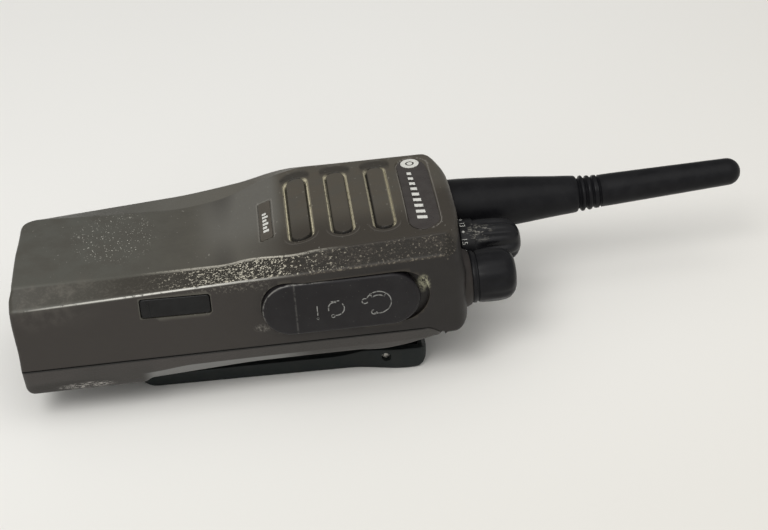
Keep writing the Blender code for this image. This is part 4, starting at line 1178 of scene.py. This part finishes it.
def make_ptt_side():
    bezel = refined("ptt_bezel", "ptt_bezel_soft", 0.5, 3)
    finish_piece(bezel, SATIN, "radio", "satin_black", "ptt_bezel")

    def on_side(u, v, h):
        return np.column_stack((PTT_X + u, h, PTT_Z + v))

    profile = [(0, 28.4)] + round_edge(31.0, 0.7, 4) + [(2.0, 31.22), (4.2, 31.28), (4.9, 31.28)]
    button = pad("ptt_button_face", 12.0, 5.0, 2.7, profile, on_side, 10)
    finish_piece(button, RUBBER, "talk_button", "rubber", "ptt_button")
    profile = [(0, 27.0), (0, 28.0), (0.4, 28.2), (1.5, 28.4)]
    flange = pad("ptt_button_flange", 13.1, 5.5, 3.0, profile, on_side, 10)
    finish_piece(flange, RUBBER, "talk_button", "rubber")
    profile = [(0, 31.0)] + round_edge(31.5, 0.2, 3) + [(0.35, 31.5)]
    for k in range(7):
        x = -7.5 + 2.5 * k
        rib = pad(
            f"ptt_rib_{k + 1}", 0.45, 3.2, 0.4, profile,
            lambda u, v, h, x=x: on_side(u + x, v, h), 4,
        )
        finish_piece(rib, RUBBER, "talk_button", "rubber")
    for name, body, x, top in (
        ("side_button_upper", "upper_button", 96.6, 31.2),
        ("side_button_lower", "lower_button", 57.2, 30.4),
    ):
        drops = (
            (27.9, 3.6), (27.5, 3.45), (27.2, 3.1), (27.02, 2.4), (27.0, 1.5), (27.25, 1.2),
            (27.3, 0.6),
        )
        profile = [(0, 3.6)] + [(top - drop, radius) for drop, radius in drops]
        item = turned(name + "_dome", profile, (x, 27.0, PTT_Z), (0, 1, 0), 40)
        finish_piece(item, RUBBER, body, "rubber", name)


# ---- deck


def knob_rows(base, y, sections, flutes):
    """Rings of a fluted knob; sections are (x, radius, flute depth)."""
    angle = whole_turn(144)
    wave = (0.5 - 0.5 * np.cos(flutes * angle)) ** 1.6
    return [
        circle(base + x, y, KNOB_Z, radius - depth * wave, angle) for x, radius, depth in sections
    ]


def ring_collar(name, y, profile):
    """A ring along X round a control's axis, from (x, radius) pairs that go round its section."""
    angle = whole_turn(72)
    rows = [circle(x, y, KNOB_Z, radius, angle) for x, radius in profile + profile[:1]]
    item = make_object(name, *skin(rows, close_start=False, close_end=False))
    finish_piece(item, COLLAR, "radio", "housing_plastic")


def make_knob(name, y, base, sections, flutes, bores, material, body, node):
    """A fluted knob with bores, given as (radius, length, start x), for its switch and shaft."""
    knob = loft(name, knob_rows(base, y, sections, flutes), 40)
    for radius, length, start in bores:
        round_cutter(radius, length, (start, y, KNOB_Z))
    cut(knob, smooth=40)
    finish_piece(knob, material, body, "satin_black", node)


def make_knobs():
    make_knob(
        "channel_knob_grip", 0.0, 131.6, CHANNEL_SECTIONS, 10,
        ((5.9, 5.6, 129.2), (3.2, 17.0, 129.4)), DUSTY_KNOB, "channel_selector", "channel_knob",
    )
    make_knob(
        "volume_knob_grip", VOLUME_Y, 132.0, VOLUME_SECTIONS, 12,
        ((5.9, 5.2, 130.0), (3.2, 12.0, 130.2)), KNOB, "volume_control", "volume_knob",
    )
    ring_collar("volume_collar", VOLUME_Y, [
        (COLLAR_X, 9.1), (129.0, 8.9), (130.3, 8.5), (131.2, 8.1), (131.6, 7.6), (131.65, 4.2),
        (COLLAR_X, 4.2),
    ])
    ring_collar("channel_collar", 0.0, [
        (COLLAR_X, 7.5), (130.6, 7.5), (130.95, 7.3), (130.95, 5.3), (COLLAR_X, 5.3),
    ])
    make_dial()


def number_mesh(number):
    """A flat number's points and faces around zero."""
    text = bpy.data.curves.new("number", "FONT")
    text.body = str(number)
    text.size = 2.3
    text.align_x = "CENTER"
    text.align_y = "CENTER"
    holder = add_object("number", text)
    bpy.context.view_layer.update()
    depsgraph = bpy.context.evaluated_depsgraph_get()
    mesh = bpy.data.meshes.new_from_object(holder.evaluated_get(depsgraph))
    bpy.data.objects.remove(holder, do_unlink=True)
    return [(v.co.x, v.co.y) for v in mesh.vertices], [tuple(p.vertices) for p in mesh.polygons]


def make_dial():
    """Numbers and dots round the channel knob's skirt, reading towards the antenna."""
    radius = 7.62
    dot = [(0.42 * cos(a), 0.42 * sin(a)) for a in whole_turn(12)]
    points, faces = [], []
    for k in range(16):
        turn = (142.0 + (k - 15) * 22.5) * pi / 180
        flat, marks = number_mesh(k) if k % 2 else (dot, [tuple(range(12))])
        base = len(points)
        for u, v in flat:
            angle = turn + u / radius
            points.append((132.1 + v, radius * cos(angle), KNOB_Z + radius * sin(angle)))
        faces += [tuple(base + i for i in mark) for mark in marks]
    item = make_object("channel_numbers", points, faces)
    thick = item.modifiers.new("thick", "SOLIDIFY")
    thick.thickness = 0.03 * MM
    apply_modifiers(item)
    finish_piece(item, PRINT, "channel_selector", "satin_black")


def antenna_profile():
    """(distance along, radius) pairs, with four grooves and three ridges at the neck."""
    pairs = [(-1.9, 7.9), (-1.9, 8.3), (0.15, 8.5), (0.6, 8.65), (3, 8.62), (8, 8.38), (14, 8.0)]
    pairs += [(20, 7.58), (25, 7.13), (30, 6.62), (34, 6.25), (37.5, 5.98), (39.8, 5.78)]
    pairs.append((40.3, 5.55))
    for k in range(4):
        s = 40.7 + k * 2.13
        pairs += [(s, 4.9), (s + 0.3, 4.65), (s + 0.6, 4.8), (s + 0.8, 5.1)]
        if k < 3:
            crest = 5.6 - 0.18 * k
            pairs += [(s + 1.0, crest - 0.12), (s + 1.4, crest), (s + 1.75, crest - 0.12)]
            pairs.append((s + 1.95, 5.2))
    pairs += [(48.1, 5.02), (50.1, 5.02), (52, 5.0), (60, 4.84), (70, 4.64), (80, 4.42)]
    length = ANTENNA_END - ANTENNA_START
    tip = 4.25
    pairs.append((length - tip - 0.05, tip))
    for angle in np.linspace(0.15, 1.5, 10):
        pairs.append((length - tip + tip * sin(angle), tip * cos(angle)))
    return pairs


def make_antenna():
    angle = whole_turn(72)
    rows = []
    for s, radius in antenna_profile():
        bend = max(s - ANTENNA_NECK, 0.0)
        x = ANTENNA_START + s - bend * (1 - cos(ANTENNA_LEAN))
        z = ANTENNA_Z + bend * sin(ANTENNA_LEAN)
        lean = ANTENNA_LEAN * float(ease((s - 40.0) / 8.0))
        up = radius * np.sin(angle)
        rows.append(np.column_stack((
            x - up * sin(lean), ANTENNA_Y + radius * np.cos(angle), z + up * cos(lean),
        )))
    item = loft("antenna_whip", rows, 50)
    round_cutter(3.9, 38.6, (127.4, ANTENNA_Y, ANTENNA_Z))
    cut(item, smooth=50)
    finish_piece(item, WHIP, "radio", "rubber", "antenna_sheath")


# ---- battery and latch


def make_battery():
    stations = [0.0, 0.15, 0.4, 0.8, 1.4, 2.0, 2.5, 3.5] + list(np.arange(6.0, 33.0, 3.0))
    stations += [34.0, 34.6, 35.2, 35.8, 36.4, 37.0] + list(np.arange(40.0, 98.0, 4.0))
    stations += list(np.arange(98.0, 119.0, 1.5)) + [119.0, 119.6, 120.1, 120.6, 121.0]
    stations += [121.3, 121.6, 121.8, 121.93, 122.0]
    rows = []
    for x in stations:
        near_end = quarter_drop(x, 2.5)
        far_end = quarter_drop(BATTERY_END_X - 0.4 - x, 1.5)
        taper = (max(x - 98.0, 0.0) / (BATTERY_END_X - 98.0)) ** 1.4
        upper = min(PARTING_Z, lower_edge(x) - 0.35)
        back = float(lerp(-1.3, 0.0, ease((x - 34.0) / 3.0)))
        back = back + near_end * 0.9 + 4.9 * taper + far_end
        edge_back = back + table_at(BATTERY_EDGE, x)
        half_back = 27.1 - near_end * 0.5 - 0.5 * taper - far_end
        half = PARTING_HALF - quarter_drop(x, 1.2) - far_end * 0.8
        corners = [
            (0, upper, 0), (half, upper, 0.3), (half_back, edge_back, 2.2), (19.0, back, 4.0),
            (0, back, 0),
        ]
        rows.append(mirrored_ring(x, section(corners, (3, 10, 4, 8), 9)))
    item = loft("battery_shell", rows)
    box_cutter((90.0, -14.0, -0.05), (114.0, 14.0, 4.0))
    cut(item, "UNION")
    box_cutter((4.0, -17.0, 1.6), (98.0, 17.0, 12.0))
    cut(item)
    finish_piece(item, BATTERY, "battery", "battery_plastic", "battery_case")


def make_latch():
    def on_end(u, v, h):
        return np.column_stack((h, u, LATCH_Z + v))

    corner = [(0.35 * (1 - cos(a)), 0.55 - 0.35 * sin(a)) for a in (0.5, 1.0, pi / 2)]
    profile = [(0, 1.0), (0, 0.55)] + corner + [(1.2, 0.2)]
    item = pad("latch_plate", 8.8, 3.2, 0.9, profile, on_end, 8)
    box_cutter((0.6, -2.9, 11.0), (5.6, 2.9, 14.6))
    cut(item, "UNION")
    finish_piece(item, SATIN, "latch", "satin_black", "battery_latch")
    profile = [(0, 0.4), (0.1, 0.1), (0.25, -0.05), (0.35, -0.08)]
    for k in range(4):
        z = -2.1 + 1.4 * k
        rib = pad(
            f"latch_rib_{k + 1}", 6.6, 0.42, 0.4, profile,
            lambda u, v, h, z=z: on_end(u, v + z, h), 4,
        )
        finish_piece(rib, SATIN, "latch", "satin_black")

    # the latch's spring, copied onto the radio's body as it stands; nothing here flattens it
    # against its fixed upper end as the latch rises
    node = frame["nodes"]["latch_spring"]
    mesh = node.data.copy()
    mesh.transform(node.matrix_world)
    coil = add_object("latch_coil", mesh)
    finish_piece(coil, STEEL, "radio", "steel", "latch_spring")
    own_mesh(coil)


# ---- belt clip


def clip_half(x):
    """The clip arm's half width: narrow at its tip, flaring round its hinge to the thumb end."""
    tip = quarter_drop(x - CLIP_TIP_X, 1.6)
    end = quarter_drop(CLIP_END_X - x, 3.0)
    if x < CLIP_NECK_X:
        return lerp(14.3, 16.2, (x - CLIP_TIP_X) / (CLIP_NECK_X - CLIP_TIP_X)) - tip
    return float(lerp(16.2, 19.4, ease((x - CLIP_NECK_X) / 18.0))) - end


def make_clip():
    stations = [32.4, 32.55, 32.9, 33.4, 34.0, 34.6, 34.62, 35.2, 36.4, 38.0]
    stations += list(np.arange(42.0, 94.0, 4.0)) + [float(x) for x in range(94, 115, 2)]
    stations += [115.18, 115.2, 115.8, 116.5, 117.1, 117.5, 117.8]
    rows = []
    for x in stations:
        half, top, bottom = clip_half(x), table_at(CLIP_TOP, x), table_at(CLIP_BOTTOM, x)
        hollow = 34.61 < x < 115.19
        inner = max(half - 2.2, 0.5)
        floor = CLIP_FACE_Z + 1.7 if hollow else top - 0.02
        thick = min(1.1, (top - bottom) * 0.45)
        corners = [
            (0, bottom, 0), (half, bottom, thick), (half, top, 0.5), (inner, top, 0.4),
            (inner - 0.1, floor, 0.0), (0, floor, 0),
        ]
        rows.append(mirrored_ring(x, section(corners, (5, 4, 2, 3, 4), 6)))
    item = loft("clip_lever", rows)
    round_cutter(1.45, 60, (PIN_X, -30, PIN_Z), (0, 1, 0), 24)
    cut(item)
    finish_piece(item, CLIP, "belt_clip", "clip_plastic", "clip_arm")
    bracket = refined("clip_bracket", "clip_bracket_soft", 0.35, 2)
    finish_piece(bracket, CLIP, "battery", "clip_plastic", "clip_bracket")
    for side in (-1, 1):
        profile = [(0, 0.9), (0.9, 0.95), (1.15, 0.8), (1.25, 0.5), (1.3, 0.2)]
        name = "clip_pin_head_" + ("near" if side < 0 else "far")
        head = turned(name, profile, (PIN_X, side * 16.2, PIN_Z), (0, side, 0), 24)
        finish_piece(head, PIN, "battery", "steel")


# ---- stage


def make_world():
    """A pale studio: bright overhead and towards the near side, dim over the far horizon."""
    world = bpy.data.worlds.new("studio")
    world.use_nodes = True
    tree = world.node_tree
    around = add_node(tree, "TexCoord", {}).outputs["Generated"]
    bright = {0: around, 1: (0.05, -0.38, 0.26)}
    towards = add_node(tree, "VectorMath", bright, operation="DOT_PRODUCT").outputs["Value"]
    level = add_node(tree, "Math", {0: towards, 1: 0.43}, operation="ADD", use_clamp=True)
    level = add_node(tree, "Math", {0: level.outputs[0], 1: 0.28}, operation="MAXIMUM")
    background = tree.nodes["Background"]
    plug(tree, background.inputs["Color"], (1.0, 0.995, 0.98))
    plug(tree, background.inputs["Strength"], level.outputs[0])
    bpy.context.scene.world = world


def make_stage():
    mesh = bpy.data.meshes.new("floor")
    far = FLOOR_HALF
    corners = [(-far, -far, 0), (far, -far, 0), (far, far, 0), (-far, far, 0)]
    mesh.from_pydata(corners, [], [(0, 1, 2, 3)])
    floor = add_object("floor", mesh)
    s = Shader("pale_floor", 0.6, specular=0.3)
    s.base = s.mix(s.step(s.noise(0.004, 2.0), 0.3, 0.7), (0.83, 0.825, 0.80), (0.84, 0.835, 0.81))
    # painted shade: the floor is painted darker towards the near side, and darker and warmer
    # towards the right
    s.paint((0.71, 0.705, 0.67), s.step(s.y, 0.0, -150.0))
    warm_painted_shade = s.step(s.more(s.x, s.times(s.y, -0.5)), -150.0, 260.0)
    s.paint((0.755, 0.735, 0.69), warm_painted_shade, 0.7)
    floor.data.materials.append(s.finished())

    make_world()
    bpy.context.scene.view_settings.view_transform = "Standard"
    for name, place, size, power in (
        ("key", (-0.42, -0.70, 1.0), 0.6, 5.9),
        ("top", (0.05, -0.45, 1.1), 1.4, 4.2),
    ):
        light = bpy.data.lights.new(name, "AREA")
        light.shape = "DISK"
        light.size = size
        light.energy = power
        light.color = (1.0, 0.99, 0.975)
        holder = add_object(name, light)
        holder.location = place
        holder.rotation_euler = (-Vector(place)).to_track_quat("-Z", "Y").to_euler()


FLOOR_HALF = 20.0  # metres, so that its edge lies beyond every view
CAMERA_PLACE = (78.4721, -420.4269, 282.4070)
CAMERA_YAW = -0.0702063
CAMERA_PITCH = -0.5684980
CAMERA_ROLL = -0.0708703
CAMERA_FOCAL = 1650.3215  # in widths of the 768 wide frame's points
FRAME_WIDTH = 768


def make_camera():
    camera = bpy.data.cameras.new("camera")
    camera.sensor_width = 36.0
    camera.lens = CAMERA_FOCAL / FRAME_WIDTH * camera.sensor_width
    camera.clip_start = 0.01
    camera.clip_end = 20.0
    ahead = Vector((0, cos(CAMERA_PITCH), sin(CAMERA_PITCH)))
    up = Vector((0, -sin(CAMERA_PITCH), cos(CAMERA_PITCH)))
    right = Vector((cos(CAMERA_ROLL), 0, 0)) + up * sin(CAMERA_ROLL)
    up = up * cos(CAMERA_ROLL) - Vector((sin(CAMERA_ROLL), 0, 0))
    turn = Matrix.Rotation(CAMERA_YAW, 3, "Z")
    matrix = Matrix([turn @ v for v in (right, up, -ahead)]).transposed().to_4x4()
    matrix.translation = Vector((np.array(CAMERA_PLACE) + TO_WORLD) * MM)
    holder = add_object("camera", camera)
    holder.matrix_world = matrix
    bpy.context.scene.camera = holder


# ---- everything

CUTTERS = bpy.data.collections.new("cutters")
bpy.context.scene.collection.children.link(CUTTERS)

HOUSING = housing_material()
BATTERY = battery_material()
COVER = cover_material()
BLACK = ((0.006, 0.006, 0.007), (0.009, 0.009, 0.010))
PLATE = moulded_material(
    "name_plate_gloss", (0.040, 0.035, 0.033), (0.048, 0.043, 0.040), 0.30, 0.01
)
BADGE = moulded_material("badge_gloss", (0.070, 0.062, 0.050), (0.080, 0.070, 0.057), 0.34, 0.01)
INSERT = moulded_material(
    "side_insert_plastic", (0.006, 0.006, 0.006), (0.009, 0.009, 0.009), 0.40, 0.02
)
SATIN = moulded_material(
    "satin_black_plastic", (0.014, 0.015, 0.017), (0.020, 0.021, 0.023), 0.42, 0.02
)
KNOB = moulded_material("knob_plastic", *BLACK, 0.34, 0.02, specular=0.13)
DUSTY_KNOB = moulded_material("scratched_knob_plastic", *BLACK, 0.32, 0.02, dusty=0.35)
WHIP = moulded_material("antenna_rubber", *BLACK, 0.34, 0.02, specular=0.11)
COLLAR = moulded_material("collar_plastic", (0.021, 0.018, 0.016), (0.028, 0.024, 0.022), 0.5, 0.04)
RUBBER = moulded_material("button_rubber", (0.015, 0.016, 0.018), (0.021, 0.022, 0.025), 0.5, 0.03)
CLIP = moulded_material("clip_moulding", (0.010, 0.013, 0.013), (0.014, 0.016, 0.015), 0.42, 0.03)
PRINT = print_material("light_print", (0.62, 0.62, 0.58), 0.14)
ICON = print_material("rubbed_icon", (0.20, 0.20, 0.19), 0.08)
STEEL = metal_material("plated_steel", (0.56, 0.56, 0.57), 0.32, (1.0, 1.0, 6.0))
PIN = metal_material("pin_steel", (0.40, 0.39, 0.36), 0.5)
ALLOY = metal_material("cast_alloy", (0.58, 0.58, 0.59), 0.5)
BRASS = metal_material("plated_brass", (0.72, 0.56, 0.28), 0.3, (6.0, 1.0, 1.0))
BOARD = board_material()
CLOTH = cloth_material()
LENS = lens_material()

make_camera()
make_stage()
make_housing()
make_front_details()
make_side_insert()
make_dust_cover()
make_ptt_side()
make_knobs()
make_antenna()
make_battery()
make_latch()
make_clip()

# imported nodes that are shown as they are, by material
KEPT = {
    LENS: ("light_lens",),
    CLOTH: ("grille_cloth", "speaker_cone"),
    STEEL: (
        "speaker_frame", "speaker_magnet", "speaker_retainer", "microphone", "front_shield",
        "rear_shield", "board_screw_1", "board_screw_2", "board_screw_3", "board_screw_4",
        "channel_shaft", "channel_switch", "volume_shaft", "volume_switch", "clip_spring",
    ),
    PIN: ("clip_pin",),
    RUBBER: ("microphone_boot", "chassis_seal"),
    BOARD: ("main_board", "side_switch_board", "battery_board"),
    ALLOY: ("chassis", "battery_cell_1", "battery_cell_2"),
    SATIN: ("contact_block", "jack_block"),
    BRASS: (
        "contact_springs", "small_jack", "large_jack", "channel_nut", "volume_nut", "antenna_stud",
        "antenna_bushing", "antenna_coil", "battery_pads",
    ),
    BATTERY: ("battery_cover",),
}
for material, nodes in KEPT.items():
    for node in nodes:
        mesh = frame["nodes"][node].data
        mesh.materials.clear()
        mesh.materials.append(material)
